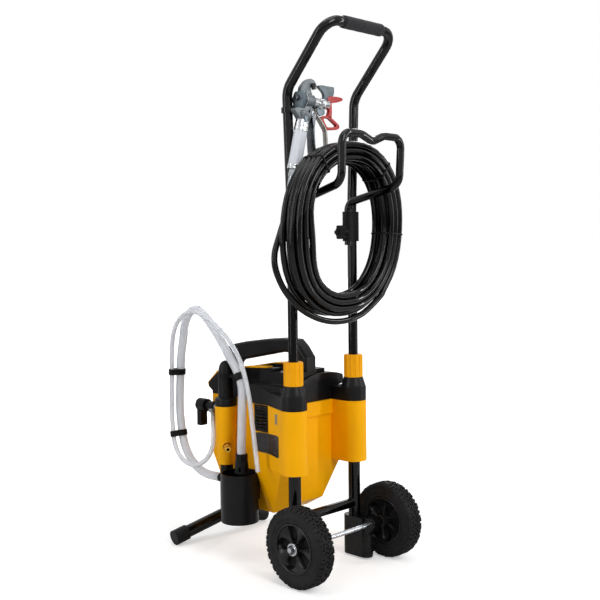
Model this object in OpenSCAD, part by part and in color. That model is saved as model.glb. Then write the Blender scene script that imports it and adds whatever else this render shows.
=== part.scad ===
// Airless paint sprayer on a two-wheel cart: +Z is up, +Y is the wheel side, sizes in millimetres.
// Inside the modules Y is counted from the wheel axle; at_axle() moves each piece into the part's frame.

/* [Cart frame] */
// Distance between the two upright tubes
upright_spacing = 180; // [178:0.5:186]
// Distance of the uprights ahead of the wheel axle
upright_ahead = 56; // [54:0.5:58]
// Outer diameter of the lower upright tubes
upright_d = 25.4; // [25:0.1:25.8]
// Wall of the lower upright tubes
upright_wall = 1.8; // [1.2:0.1:2]
// Height of the top of the lower upright tubes
upright_top = 400; // [396:1:408]
// Diameter of the tube that joins the uprights
cross_d = 20; // [16:0.5:22]
// Height of the tube that joins the uprights
cross_z = 115; // [108:1:125]
// Thickness of the moulded axle boots
boot_w = 30; // [29:0.5:32]

/* [Wheels] */
// Diameter of the tyres
wheel_d = 160; // [150:1:170]
// Width of the tyres
wheel_w = 40; // [34:0.5:42]
// Diameter of the plastic hubs, where the tyres seat
rim_d = 100; // [90:1:110]
// Distance between the outer faces of the tyres
wheel_span = 309; // [306:0.5:324]
// Diameter of the axle rod
axle_d = 10; // [8:0.5:12]

/* [Front stand] */
// Distance between the outer ends of the foot
foot_span = 274; // [250:1:290]
// Diameter of the foot tube and of its post
foot_d = 28; // [25:0.5:30]
// Outer diameter of the rubber foot caps
foot_cap_d = 34; // [32:0.5:36]
// Height of the foot tube's middle over its ends
foot_rise = 32; // [26:1:38]
// Distance of the foot's post ahead of the axle
post_ahead = 374; // [372:1:378]

/* [Handle] */
// Outer diameter of the sliding handle tube
tube_d = 20; // [18:0.1:20.5]
// Wall of the sliding handle tube
tube_wall = 1.5; // [1:0.1:2]
// Height of the handle's crossbar
handle_top = 1094; // [1060:1:1140]
// Height at which the handle bends back
handle_bend = 974; // [960:1:990]
// Half the distance between the handle's legs at that bend
handle_half = 99; // [96:0.5:102]
// How far the crossbar stands behind the axle
handle_back = 55; // [40:1:70]
// Length of the foam grip
grip_len = 114; // [90:1:124]
// Diameter of the foam grip
grip_d = 25; // [23:0.5:30]
// Height of the twist-lock collars
collar_h = 48; // [40:1:56]
// Diameter of the twist-lock collars
collar_d = 39; // [34:0.5:40]

/* [Hose] */
// Outer diameter of the high-pressure hose
hose_d = 12.5; // [12:0.1:12.6]
// Loops in each layer of the coil
coil_loops = 3; // [2:1:3]
// Layers of the coil, which lie one before the other
coil_layers = 4; // [2:2:4]
// Step from one loop to the next, and from layer to layer
coil_pitch = 13.1; // [13.1:0.1:13.4]
// Half the width of the opening in the coil
coil_half_w = 111; // [110:1:114]
// Half the height of the opening in the coil
coil_half_h = 127; // [124:1:130]
// Diameter of the hose hook's tube
hook_d = 16; // [14:0.5:16]

/* [Machine] */
// Half the width of the machine's housing
body_half = 88; // [86:0.5:90]
// Height of the seam between the yellow shell and the black cap
seam_z = 338; // [334:1:342]
// Wall of the housing
shell_wall = 2.5; // [2:0.1:3]
// Radius of the sleeves that hold the uprights
sleeve_r = 27; // [26:0.5:28]
// Outer diameter of the suction tube
suction_d = 18.7; // [18:0.1:19]
// Outer diameter of the return tube
return_d = 9; // [8:0.1:9.5]
// Radius of the drip cup
cup_r = 40; // [37:0.5:41]
// Height of the drip cup
cup_h = 104; // [90:1:106]

/* [Fits] */
// Radial clearance of a running or sliding fit
fit = 0.05; // [0.03:0.01:0.08]
// Gap between pieces that move past each other or lie side by side
gap = 0.3; // [0.25:0.05:0.35]

/* [Hidden] */
$fn = 48;

// ---- derived sizes, with Y counted from the axle ----
axle_z = wheel_d / 2;
upright_x = upright_spacing / 2;
upright_y = -upright_ahead;
upright_r = upright_d / 2;
upright_foot = 12;
tube_r = tube_d / 2;
hook_r = hook_d / 2;
foot_r = foot_d / 2;
suction_r = suction_d / 2;
return_r = return_d / 2;
hose_r = hose_d / 2;

// Hose hook: the clamped bars, the arms and the front bar with its dip
hook_x = 71.5;
hook_y = -50;
hook_bottom = 668;
hook_shoulder = 756;
hook_out = [86, 76, 787];
hook_horn = [88, 80, 881];
hook_dip = 868;
hook_dip_half = 34;

// Pump column
pump_x = 80;
pump_y = -277;
column_r = 15.2;
column_z0 = 195;
piston_z = 269.5;
valve_z = 316;

// Front and rear reach of everything but the free hose, which centre the part on its frame
suction_route = [
    [104, -201, 231], [104, -201, 250], [102, -201, 284], [94, -208, 332], [84, -219, 368],
    [80, -237, 399], [80, -260, 427], [80, -286, 458], [80, -316, 489], [80, -344, 515],
    [80, -371, 528], [80, -396, 520], [80, -414, 496], [80, -422, 461], [80, -430, 424],
    [80, -434, 384], [80, -439, 318], [80, -436, 266], [80, -425, 219], [80, -401, 185],
    [80, -367, 165], [80, -338, 160], [80, -320, 160], [80, -300.5, 160]
];
return_route = [
    [92, -307, 299], [92, -307, 286], [96, -301, 262], [101, -301, 228], [106, -318, 200],
    [108, -356, 183], [106, -399, 190], [103, -429, 217], [102, -440, 273], [102, -440, 331],
    [102, -438, 389], [102, -435, 446], [104, -421, 486], [107, -391, 514], [110, -355, 526],
    [110, -320, 522], [110, -283, 506], [110, -244, 482], [111, -215, 457], [112, -191, 427],
    [113, -176, 395], [114, -162, 350], [115, -153, 299], [116, -144, 249], [117, -136, 204]
];
front_reach = suction_r - min([for (p = suction_route) p[1]]);
rear_reach = max(wheel_d / 2, hook_horn[1] + hook_r);
axle_y = (front_reach - rear_reach) / 2;

// ---- helpers ----
function unit(v) = v / norm(v);
function flip_x(p) = [-p[0], p[1], p[2]];
function reversed(list) = [for (i = [len(list) - 1 : -1 : 0]) list[i]];
function turn_angle(a, b, c) = acos(max(-1, min(1, unit(b - a) * unit(c - b))));
function bend_trim(path, bends, i) =
    i == 0 || i == len(path) - 1 ? 0 : bends[i - 1] * tan(turn_angle(path[i - 1], path[i], path[i + 1]) / 2);

module at_axle() translate([0, axle_y, 0]) children();

module both_sides() {
    children();
    mirror([1, 0, 0]) children();
}

// Cylinder of radius r from p to q, with the end radius r2 at q
module rod(p, q, r, r2 = -1, fn = $fn) {
    d = q - p;
    translate(p)
        rotate([0, acos(d[2] / norm(d)), atan2(d[1], d[0])])
            cylinder(h = norm(d), r1 = r, r2 = r2 < 0 ? r : r2, $fn = fn);
}

module rod_x(x0, x1, y, z, r, r2 = -1, fn = $fn) rod([x0, y, z], [x1, y, z], r, r2, fn);
module rod_y(y0, y1, x, z, r, r2 = -1, fn = $fn) rod([x, y0, z], [x, y1, z], r, r2, fn);
module rod_z(z0, z1, x, y, r, r2 = -1, fn = $fn) rod([x, y, z0], [x, y, z1], r, r2, fn);

// Straight stretches and round bends of a bar that follows the corners of path. The stretches reach
// a little into the bends, which are a hair thicker, so that the pieces join into one solid.
bend_reach = 0.8;
bend_over = 0.05;

module bent_bar(path, bends, r, end = 0) {
    last = len(path) - 1;
    for (i = [0 : last - 1]) {
        u = unit(path[i + 1] - path[i]);
        p_reach = i == 0 ? end : bend_reach - bend_trim(path, bends, i);
        q_reach = i == last - 1 ? end : bend_reach - bend_trim(path, bends, i + 1);
        rod(path[i] - u * p_reach, path[i + 1] + u * q_reach, r);
    }
    for (i = [1 : last - 1])
        bar_bend(path[i - 1], path[i], path[i + 1], bends[i - 1], r + bend_over);
}

module bar_bend(a, b, c, bend_r, r) {
    u = unit(b - a);
    n = unit(cross(u, unit(c - b)));
    out = cross(u, n);
    turn = turn_angle(a, b, c);
    centre = b - u * bend_r * tan(turn / 2) - out * bend_r;
    multmatrix([
        [out[0], u[0], n[0], centre[0]],
        [out[1], u[1], n[1], centre[1]],
        [out[2], u[2], n[2], centre[2]]
    ])
        rotate_extrude(angle = turn)
            translate([bend_r, 0]) circle(r);
}

module bent_pipe(path, bends, r, wall)
    difference() {
        bent_bar(path, bends, r);
        bent_bar(path, bends, r - wall, 1);
    }

// Plate of an outline in the XZ plane, centred on y, and one of an outline in the YZ plane
module plate_xz(outline, y, thick)
    translate([0, y + thick / 2, 0]) rotate([90, 0, 0]) linear_extrude(thick) polygon(outline);
module plate_yz(outline, x0, x1)
    translate([x0, 0, 0]) rotate([90, 0, 90]) linear_extrude(x1 - x0) polygon(outline);
module block(x0, x1, y0, y1, z0, z1) translate([x0, y0, z0]) cube([x1 - x0, y1 - y0, z1 - z0]);

// Points of a smooth curve through a route, with `steps` to each stretch
function curve_at(a, b, c, d, t) =
    0.5 * (2 * b + (c - a) * t + (2 * a - 5 * b + 4 * c - d) * t * t + (3 * b - a - 3 * c + d) * t * t * t);
function smooth(route, steps) = [
    for (i = [0 : len(route) - 2], k = [0 : steps - 1])
        curve_at(route[max(i - 1, 0)], route[i], route[i + 1], route[min(i + 2, len(route) - 1)], k / steps),
    route[len(route) - 1]
];
function heading(path, i) = unit(path[min(i + 1, len(path) - 1)] - path[max(i - 1, 0)]);

// One ring of a swept tube, turned so that its corners keep in line with the direction `side`
function ring(p, t, side, r, sides) =
    let(a = unit(cross(t, side)), b = cross(a, t))
    [for (k = [0 : sides - 1]) p + r * (cos(360 * k / sides) * a + sin(360 * k / sides) * b)];

// Closed tube along a path, made of triangles
module swept_tube(path, side, r, sides) {
    rings = len(path);
    points = [for (i = [0 : rings - 1]) each ring(path[i], heading(path, i), side, r, sides)];
    walls = [
        for (i = [0 : rings - 2], k = [0 : sides - 1])
            let(a = i * sides + k, b = i * sides + (k + 1) % sides)
            each [[a, b, b + sides], [a, b + sides, a + sides]]
    ];
    ends = [
        for (k = [1 : sides - 2])
            each [[0, k + 1, k], [(rings - 1) * sides, (rings - 1) * sides + k, (rings - 1) * sides + k + 1]]
    ];
    polyhedron(points, concat(walls, ends));
}

// ---- cart frame ----
module uprights() color("#141414") at_axle() both_sides()
    difference() {
        rod_z(upright_foot, upright_top, upright_x, upright_y, upright_r);
        rod_z(upright_foot - 1, upright_top + 1, upright_x, upright_y, upright_r - upright_wall);
    }

module upright_bores(z0, z1, r) both_sides() rod_z(z0, z1, upright_x, upright_y, r);

module cross_tube() color("#141414") at_axle()
    difference() {
        rod_x(-upright_x, upright_x, upright_y, cross_z, cross_d / 2);
        rod_x(-upright_x - 1, upright_x + 1, upright_y, cross_z, cross_d / 2 - upright_wall);
        upright_bores(cross_z - cross_d, cross_z + cross_d, upright_r + fit);
    }

// Moulded boot at the foot of each upright, with an arm back to the axle
module axle_boots() {
    r = boot_w / 2;
    boot_top = axle_z + 8;
    color("#1b1b1c") at_axle() both_sides()
        difference() {
            union() {
                hull() {
                    rod_z(4, boot_top, upright_x, upright_y - 10, r, fn = 32);
                    rod_z(4, boot_top, upright_x, upright_y + 32, r, fn = 32);
                }
                hull() {
                    rod_x(upright_x - 11, upright_x + 11, 0, axle_z, 11, fn = 32);
                    block(upright_x - 11, upright_x + 11, upright_y + 32, upright_y + 34, 40, boot_top);
                }
            }
            rod_z(upright_foot - gap, boot_top + 1, upright_x, upright_y, upright_r + fit);
            rod_x(upright_x - r - 1, upright_x + r + 1, 0, axle_z, axle_d / 2 + fit);
        }
}

wheel_outer = wheel_span / 2;
wheel_mid = wheel_outer - wheel_w / 2;
hub_inner = upright_x + boot_w / 2 + 0.8;
axle_end = wheel_outer + 8;

module axle() color("#b9bcc0") at_axle() rod_x(-axle_end, axle_end, 0, axle_z, axle_d / 2);

// End washers with their nuts
module axle_nuts() color("#c4c7ca") at_axle() both_sides()
    difference() {
        union() {
            rod_x(wheel_outer + gap, wheel_outer + 1.9, 0, axle_z, 12.5);
            rod_x(wheel_outer + 1.9, wheel_outer + 7, 0, axle_z, 9.2, fn = 6);
        }
        rod_x(wheel_outer, axle_end + 1, 0, axle_z, axle_d / 2 + fit);
    }

// Foot tube bent to a low arch, welded to a hollow post
foot_end = [foot_span / 2, -396, foot_cap_d / 2 - 1];
foot_apex = [0, -380, foot_cap_d / 2 - 1 + foot_rise];
foot_wall = 2;
post_top = 325;

module foot_arch(r, extra) {
    over = unit(foot_end - foot_apex) * extra;
    bent_bar([flip_x(foot_end + over), foot_apex, foot_end + over], [60], r);
}

module front_stand() color("#161616") at_axle()
    difference() {
        union() {
            foot_arch(foot_r, -4);
            rod_z(foot_apex[2] - 3, post_top, 0, -post_ahead, foot_r);
        }
        foot_arch(foot_r - foot_wall, 0);
        rod_z(foot_apex[2] - 3, post_top + 1, 0, -post_ahead, foot_r - foot_wall);
    }

module foot_caps() {
    u = unit(foot_end - foot_apex);
    color("#1c1c1d") at_axle() both_sides()
        difference() {
            rod(foot_end - u * 34, foot_end, foot_cap_d / 2);
            rod(foot_end - u * 35, foot_end - u * (4 - gap), foot_r + fit);
            block(0, foot_span, -450, -350, -50, 0);
        }
}

// ---- wheels, built at x > 0 ----
module hub() {
    boss_r = 13;
    web_x = wheel_mid;
    rim_r = rim_d / 2;
    difference() {
        union() {
            rod_x(hub_inner, wheel_outer - 2, 0, axle_z, boss_r);
            rod_x(web_x - 3, web_x + 3, 0, axle_z, rim_r - 2);
            difference() {
                rod_x(wheel_mid - wheel_w / 2 + 2, wheel_outer - 2, 0, axle_z, rim_r);
                rod_x(wheel_mid - wheel_w / 2 + 1, wheel_outer - 1, 0, axle_z, rim_r - 5);
            }
            for (i = [0 : 4])
                translate([0, 0, axle_z]) rotate([72 * i, 0, 0])
                    block(web_x - 12, web_x + 12, -3, 3, boss_r - 2, rim_r - 3);
        }
        for (i = [0 : 4])
            translate([web_x - 4, 0, axle_z]) rotate([90, 0, 90]) rotate([0, 0, 72 * i + 108])
                rotate_extrude(angle = 36) translate([20, 0]) square([rim_r - 28, 8]);
        rod_x(hub_inner - 1, wheel_outer + 1, 0, axle_z, axle_d / 2 + fit);
    }
}

module tyre() {
    r0 = rim_d / 2 + fit;
    r1 = wheel_d / 2;
    h = wheel_w / 2;
    translate([wheel_mid, 0, axle_z]) rotate([0, 90, 0])
        rotate_extrude($fn = 96)
            polygon([
                [r0, -h + 3], [r0 + 5, -h], [r1 - 12, -h], [r1 - 3, -h + 4], [r1, -h + 10],
                [r1, h - 10], [r1 - 3, h - 4], [r1 - 12, h], [r0 + 5, h], [r0, h - 3]
            ]);
}

module hub_left() color("#1a1a1b") at_axle() hub();
module hub_right() color("#1a1a1b") at_axle() mirror([1, 0, 0]) hub();
module tyre_left() color("#262626") at_axle() tyre();
module tyre_right() color("#262626") at_axle() mirror([1, 0, 0]) tyre();

// ---- handle ----
tube_foot = 300;
lean_z = 745;
lean_y = -55;
handle_leg = [
    [upright_x, upright_y, tube_foot], [upright_x, upright_y, lean_z],
    [handle_half, lean_y, handle_bend], [handle_half, handle_back, handle_top]
];
handle_path = concat(handle_leg, [for (p = reversed(handle_leg)) flip_x(p)]);
function leg_at(z) =
    let(t = (z - lean_z) / (handle_bend - lean_z))
    [upright_x + t * (handle_half - upright_x), upright_y + t * (lean_y - upright_y), z];

module handle_tube() color("#131313") at_axle()
    bent_pipe(handle_path, [300, 45, 35, 35, 45, 300], tube_r, tube_wall);

module handle_grip() color("#333335") at_axle()
    difference() {
        union() {
            rod_x(-grip_len / 2, grip_len / 2, handle_back, handle_top, grip_d / 2 - 1);
            rod_x(-grip_len / 2 + 2, grip_len / 2 - 2, handle_back, handle_top, grip_d / 2);
        }
        rod_x(-grip_len, grip_len, handle_back, handle_top, tube_r + fit);
    }

hook_side = [
    [hook_x, hook_y, hook_bottom], [hook_x, hook_y, hook_shoulder], hook_out, hook_horn,
    [hook_dip_half, hook_horn[1], hook_horn[2]]
];
hook_path = concat(hook_side, [[0, hook_horn[1], hook_dip]], [for (p = reversed(hook_side)) flip_x(p)]);

// Points along the path with its corners rounded, for a swept tube
function rounded(path, bends, steps) = [
    path[0],
    for (i = [1 : len(path) - 2])
        let(
            u = unit(path[i] - path[i - 1]),
            n = unit(cross(u, unit(path[i + 1] - path[i]))),
            out = cross(u, n),
            turn = turn_angle(path[i - 1], path[i], path[i + 1]),
            centre = path[i] - u * bend_trim(path, bends, i) - out * bends[i - 1]
        )
        for (k = [0 : steps])
            centre + bends[i - 1] * (cos(turn * k / steps) * out + sin(turn * k / steps) * u),
    path[len(path) - 1]
];
hook_line = rounded(hook_path, [20, 28, 22, 40, 30, 40, 22, 28, 20], 5);
hook_side_dir = [0, -1, 1];

module hose_hook() color("#141414") at_axle()
    difference() {
        swept_tube(hook_line, hook_side_dir, hook_r, 20);
        swept_tube(longer(hook_line), hook_side_dir, hook_r - tube_wall, 8);
    }

// Clamps that lock the hook's bars to the handle legs, each with a screw through its inner side
clamp_z0 = 676;
clamp_z1 = 738;
knob_z = 695;
screw_r = 3;

module hook_clamps() color("#171717") at_axle() both_sides()
    difference() {
        hull() {
            rod_z(clamp_z0, clamp_z1, upright_x, upright_y, tube_r + 4.5, fn = 32);
            rod_z(clamp_z0, clamp_z1, hook_x, hook_y, hook_r + 4, fn = 32);
        }
        rod_z(clamp_z0 - 1, clamp_z1 + 1, upright_x, upright_y, tube_r + fit);
        rod_z(clamp_z0 - 1, clamp_z1 + 1, hook_x, hook_y, hook_r + fit);
        rod_x(hook_x - 30, hook_x, hook_y, knob_z, screw_r + fit);
    }

module star_knob() {
    face = hook_x - hook_r - 4 - gap;
    difference() {
        union() {
            rod_x(face - 14, face - 2, hook_y, knob_z, 13);
            rod_x(face - 3, face, hook_y, knob_z, 6);
            rod_x(face - 1, hook_x - hook_r - 0.2, hook_y, knob_z, screw_r);
            for (i = [0 : 5])
                rod_x(face - 14, face - 2, hook_y + 12 * cos(60 * i), knob_z + 12 * sin(60 * i), 4);
        }
        rod_x(face - 15, face - 12, hook_y, knob_z, 6);
    }
}

module star_knob_left() color("#161616") at_axle() star_knob();
module star_knob_right() color("#161616") at_axle() mirror([1, 0, 0]) star_knob();

// Ribbed collar that turns on the top of the lower tube and grips the upper tube
module collar() {
    z0 = seam_z + 49 + gap;
    difference() {
        union() {
            rod_z(z0, z0 + collar_h, upright_x, upright_y, collar_d / 2, collar_d / 2 - 0.8);
            for (i = [0 : 11])
                translate([upright_x, upright_y, z0 + 2]) rotate([0, 0, 30 * i])
                    translate([collar_d / 2 - 0.6, 0, 0]) cylinder(h = collar_h - 4, r = 1.6, $fn = 24);
        }
        rod_z(z0 - 1, z0 + collar_h + 1, upright_x, upright_y, tube_r + fit);
        rod_z(z0 - 1, upright_top + gap, upright_x, upright_y, upright_r + fit);
    }
}

module collar_left() color("#f0a108") at_axle() collar();
module collar_right() color("#f0a108") at_axle() mirror([1, 0, 0]) collar();

// ---- spray gun, which stands in the plane y = gun_y ----
gun_y = -34;
barrel_z = 954;
barrel_r = 14;
barrel_x0 = 38;
barrel_x1 = 74;
nut_x1 = 88;
nut_r = 16.2;
grip_top = [80, gun_y, 905];
grip_bottom = [103, gun_y, 816];
grip_dir = unit(grip_bottom - grip_top);
core_r = 6;
trigger_x = 60;
trigger_z = 930;
trigger_pin_r = 2;
lug_half = 5;
needle_r = 1.5;
lock_x = 79;
lock_z = 923;
neck_half = 9;

// Ring round the left leg with a strap and a headed peg, over which the gun's hook hangs
peg = [53, gun_y, 983.5];
peg_r = 3.5;
strap_y = -54;
strap_t = 4;

module gun_holder() {
    z0 = 929;
    z1 = 939;
    leg = leg_at((z0 + z1) / 2);
    inner = leg[0] - tube_r - 1;    // the strap ends inside the ring's wall
    color("#161616") at_axle()
        difference() {
            union() {
                rod_z(z0, z1, leg[0], leg[1], tube_r + 3);
                plate_xz([[inner, z0], [inner, z1], [86, z1], [60, 989], [47, 989], [46, 978], [76, z0]],
                         strap_y, strap_t);
                rod_y(strap_y, gun_y + 7, peg[0], peg[2], peg_r);
                rod_y(gun_y + 6, gun_y + 9, peg[0], peg[2], 5);
            }
            rod_z(z0 - 1, z1 + 1, leg[0], leg[1], tube_r + 0.5);
        }
}

// Cast body with the hanging hook, the rear nut and the handle core
module gun_body() color("#737c80") at_axle()
    difference() {
        union() {
            rod_x(barrel_x0, barrel_x1, gun_y, barrel_z, barrel_r);
            rod_x(barrel_x1, nut_x1, gun_y, barrel_z, nut_r, fn = 6);
            rod_x(nut_x1, nut_x1 + 9, gun_y, barrel_z, 4);
            plate_xz([
                [88, 964], [90, 972], [84, 980], [70, 993], [58, 997], [48, 993], [43, 985], [43, 976],
                [47, 976], [48, 983], [52, 988], [57, 986], [59, 980], [58, 964]
            ], gun_y, 8);
            plate_xz([
                [66, 946], [88, 946], [87, 925], [86, 907.1], [71, 903.2], [69, 925]
            ], gun_y, 2 * neck_half);
            plate_xz([[54, 945], [68, 945], [68, 923], [54, 923]], gun_y, 2 * lug_half);
            rod(grip_top - grip_dir * 4, grip_bottom, core_r);
        }
        rod_x(barrel_x0 - 1, barrel_x1 + 4, gun_y, barrel_z, needle_r + fit);
        rod_y(gun_y - 30, gun_y + 30, trigger_x, trigger_z, trigger_pin_r + fit);
        rod_y(gun_y, gun_y + 30, lock_x, lock_z, trigger_pin_r + fit);
    }

module gun_grip() {
    side = [3.2, 0, 0.8];
    color("#d9dce3") at_axle()
        difference() {
            hull() {
                rod(grip_top + side, grip_bottom + side, 11, fn = 32);
                rod(grip_top - side, grip_bottom - side, 11, fn = 32);
            }
            rod(grip_top - grip_dir * 9, grip_bottom + grip_dir * 9, core_r + fit);
        }
}

module gun_swivel() color("#b8bbbd") at_axle() {
    start = grip_bottom + grip_dir * gap;
    rod(start, start + grip_dir * 14, 10, fn = 6);
    rod(start + grip_dir * 13, start + grip_dir * 30, 8);
}

// Trigger: a strip before the grip and two cheeks that straddle the body's lug
module gun_trigger() color("#8b9093") at_axle()
    difference() {
        union() {
            plate_xz([
                [54, 934], [60, 925], [57, 900], [56, 870], [54, 846],
                [49, 846], [52, 870], [53, 900], [49, 926]
            ], gun_y, 2 * lug_half + 10);
            rod_y(gun_y - lug_half - 5, gun_y + lug_half + 5, trigger_x, trigger_z, 6);
        }
        block(30, 80, gun_y - lug_half - gap, gun_y + lug_half + gap, 921, 960);
        rod_y(gun_y - 30, gun_y + 30, trigger_x, trigger_z, trigger_pin_r + fit);
    }

module trigger_pin() color("#c9cccf") at_axle()
    rod_y(gun_y - lug_half - 6, gun_y + lug_half + 6, trigger_x, trigger_z, trigger_pin_r);

// Bow from the barrel down to the handle's foot
module trigger_guard() color("#a9adab") at_axle()
    bent_bar([
        [43, gun_y, barrel_z - barrel_r - gap], [43, gun_y, 932], [27, gun_y, 915], [21, gun_y, 880],
        [24, gun_y, 838], [50, gun_y, 816], [87.3, gun_y, 815]
    ], [5, 14, 40, 18, 20], 3.6);

module trigger_lock() color("#c2402f") at_axle() {
    y0 = gun_y + neck_half + gap;
    rod_y(y0, y0 + 3, lock_x, lock_z, 4.5);
    block(lock_x - 3, lock_x + 3, y0, y0 + 3, lock_z - 14, lock_z);
    rod_y(y0 - 8, y0 + 1, lock_x, lock_z, trigger_pin_r);
}

module gun_needle() color("#d0d3d5") at_axle()
    rod_x(barrel_x0 + 2, barrel_x1 - 2, gun_y, barrel_z, needle_r);

nozzle_z = 952;
tip_x = 14;
tip_r = 5;

module nozzle_nut() color("#3b4146") at_axle()
    difference() {
        union() {
            rod_x(27, barrel_x0 - gap, gun_y, nozzle_z, 12.6, fn = 6);
            rod_x(26.5, 30, gun_y, nozzle_z, 12.9);
        }
        rod_x(26, barrel_x0 + 1, gun_y, nozzle_z, 4);
    }

// Red guard: a saddle round the tip, a stem, the upper prong and the lower loop
module tip_guard() color("#a52a2a") at_axle()
    difference() {
        union() {
            rod_x(3, 26.2, gun_y, nozzle_z, 11);
            plate_xz([
                [4, 966], [-30, 967], [-37, 963], [-20, 957], [-12, 955], [-11, 924], [0, 924], [4, 940]
            ], gun_y, 6);
            difference() {
                plate_xz([[16, 924], [-6, 927], [-26, 912], [-26, 901], [-14, 899], [4, 902]], gun_y, 6);
                plate_xz([[8, 920], [-5, 921], [-20, 910], [-19, 905], [0, 906]], gun_y, 8);
            }
        }
        rod_x(-20, 27, gun_y, nozzle_z, 3.5);
        rod_z(nozzle_z - 12, nozzle_z + 20, tip_x, gun_y, tip_r + fit);
    }

// Reversible tip: barrel, neck and arrow-shaped flag
module spray_tip() color("#6f7b80") at_axle() {
    rod_z(nozzle_z - 9, nozzle_z + 17, tip_x, gun_y, tip_r);
    plate_xz([
        [8, 969], [20, 969], [22, 979], [34, 984], [32, 987], [-13, 985], [-12, 979], [4, 978]
    ], gun_y, 5);
}

// ---- hose ----
coil_x = -5;
coil_y = -4;
coil_z = 700;
coil_tilt = 0.08;
coil_power = 2.2;
coil_start = 225;
rings_per_loop = 24;
loop_count = coil_loops * coil_layers;
slack = 15;

// Spiral place of turn u: out and in again from layer to layer, starting outside in the front layer
function layer_of(u) = min(coil_layers - 1, floor(u / coil_loops));
function spiral_at(u) =
    let(k = layer_of(u), s = u - k * coil_loops)
    k % 2 == 0 ? coil_loops - s : s;
function climb_at(u) =
    let(k = round(u / coil_loops), t = (u - k * coil_loops) * 2 + 0.5)
    k < 1 || k >= coil_layers ? layer_of(u) : k - 1 + (t < 0 ? 0 : t > 1 ? 1 : t * t * (3 - 2 * t));

// The inner loops bow inwards below the hook arm on the gun's side
function bow_at(angle, s) =
    let(d = (angle + 12 + 540) % 360 - 180)
    abs(d) > 45 ? 0 : slack * (1 - s / coil_loops) * pow(cos(2 * d), 2);

// Distance of the hose from the coil's centre, at an angle and a place in the spiral
function coil_radius(angle, s) =
    let(a = coil_half_w + hose_r + coil_pitch * s, b = coil_half_h + hose_r + coil_pitch * s)
    pow(pow(abs(cos(angle)) / a, coil_power) + pow(abs(sin(angle)) / b, coil_power), -1 / coil_power);

function coil_point(u) =
    let(
        angle = coil_start - 360 * (u - floor(u)),
        s = spiral_at(u),
        r = coil_radius(angle, s) - bow_at(angle, s),
        z = r * sin(angle)
    )
    [
        coil_x + r * cos(angle),
        coil_y + coil_tilt * z + coil_pitch * ((coil_layers - 1) / 2 - climb_at(u)),
        coil_z + z
    ];
coil_turns = [for (i = [0 : rings_per_loop * loop_count]) coil_point(i / rings_per_loop)];
coil_last = len(coil_turns) - 1;
function end_heading(a, b, c) = unit(3 * (a - b) - (b - c));
coil_mouth_dir = end_heading(coil_turns[0], coil_turns[1], coil_turns[2]);
coil_tail_dir = end_heading(coil_turns[coil_last], coil_turns[coil_last - 1], coil_turns[coil_last - 2]);
coil_mouth = coil_turns[0] + coil_mouth_dir * hose_d;
coil_tail = coil_turns[coil_last] + coil_tail_dir * hose_d;
coil_path = concat([coil_mouth], coil_turns, [coil_tail]);

function path_length(p) = [for (i = [1 : len(p) - 1]) norm(p[i] - p[i - 1])] * [for (i = [1 : len(p) - 1]) 1];
echo("coil length", path_length(coil_path));

module hose_coil() color("#0f0f10") at_axle() swept_tube(coil_path, [0, 1, 0], hose_r, 6);

// Free lead from the gun's ferrule down behind the coil and round its bottom into the first turn
ferrule_len = 22;
ferrule_start = grip_bottom + grip_dir * 30.6;
lead_start = ferrule_start + grip_dir * ferrule_len;
lead_drop = [[127.5, -36.6, 722], [138.5, -40.5, 688], [149.5, -43.5, 652]];
// Angle round the coil, place in the spiral and Y of the stretch below the coil
lead_round = [
    [-28, 3.7, -42], [-41, 4.05, -34], [-54, 4.2, -24], [-66, 4.2, -15], [-78, 4.15, -8],
    [-90, 4, -3], [-101, 3.7, 0.5], [-111, 3.4, 2.5]
];
lead_path = concat(
    [lead_start, lead_start + grip_dir * hose_d],
    lead_drop,
    [for (p = lead_round) [
        coil_x + coil_radius(p[0], p[1]) * cos(p[0]), p[2], coil_z + coil_radius(p[0], p[1]) * sin(p[0])
    ]],
    [coil_mouth + coil_mouth_dir * hose_d, coil_mouth]
);
echo("lead length", path_length(lead_path), "lead start", lead_start, "mouth", coil_mouth);

module hose_lead() color("#0f0f10") at_axle() swept_tube(lead_path, [0, 1, 0], hose_r, 8);

// Ferrule at the gun, and the swivel end tucked at the back of the coil
module hose_fittings() color("#b4b7ba") at_axle() {
    rod(ferrule_start, lead_start, 8);
    rod(coil_tail, coil_tail + coil_tail_dir * 22, 7.4);
    rod(coil_tail + coil_tail_dir * 22, coil_tail + coil_tail_dir * 36, 9, fn = 6);
}

// Ties round the bundle
module hose_ties() {
    across = coil_pitch * coil_loops + hose_d;
    deep = coil_pitch * (coil_layers - 1) + hose_d;
    color("#2a2a2b") at_axle()
        for (angle = [55, 128, 184]) {
            r = coil_radius(angle, coil_loops / 2);
            translate([coil_x, coil_y, coil_z]) rotate([-atan(coil_tilt), 0, 0])
                translate([r * cos(angle), 0, r * sin(angle)]) rotate([0, -angle, 0])
                    difference() {
                        cube([across + 3, deep + 3, 4], center = true);
                        cube([across + 0.6, deep + 0.6, 6], center = true);
                    }
        }
}

// ---- machine housing ----
block_rear = -98;
corner_y = -176;
block_front = -355;
near_x = 52;
recess_x = 63;
shoulder_z = 202;
tub_z = 100;
tub_half = 50;
tub_rear_half = 34;
tub_rear_z = 131;
sleeve_z0 = 208;
panel_y = -134;

// Where the side panel meets the sleeve's circle
panel_far = [body_half, panel_y];
sleeve_c = [upright_x, upright_y];
panel_run = norm(sleeve_c - panel_far);
tangent_angle = atan2(panel_far[1] - sleeve_c[1], panel_far[0] - sleeve_c[0]) + acos(sleeve_r / panel_run);
tangent = sleeve_c + sleeve_r * [cos(tangent_angle), sin(tangent_angle)];

module sleeve_plan(z0, z1) {
    rod_z(z0, z1, upright_x, upright_y, sleeve_r);
    translate([0, 0, z0]) linear_extrude(z1 - z0)
        polygon([[recess_x, block_rear - 5], [recess_x, upright_y], sleeve_c, tangent, panel_far]);
}

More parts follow.
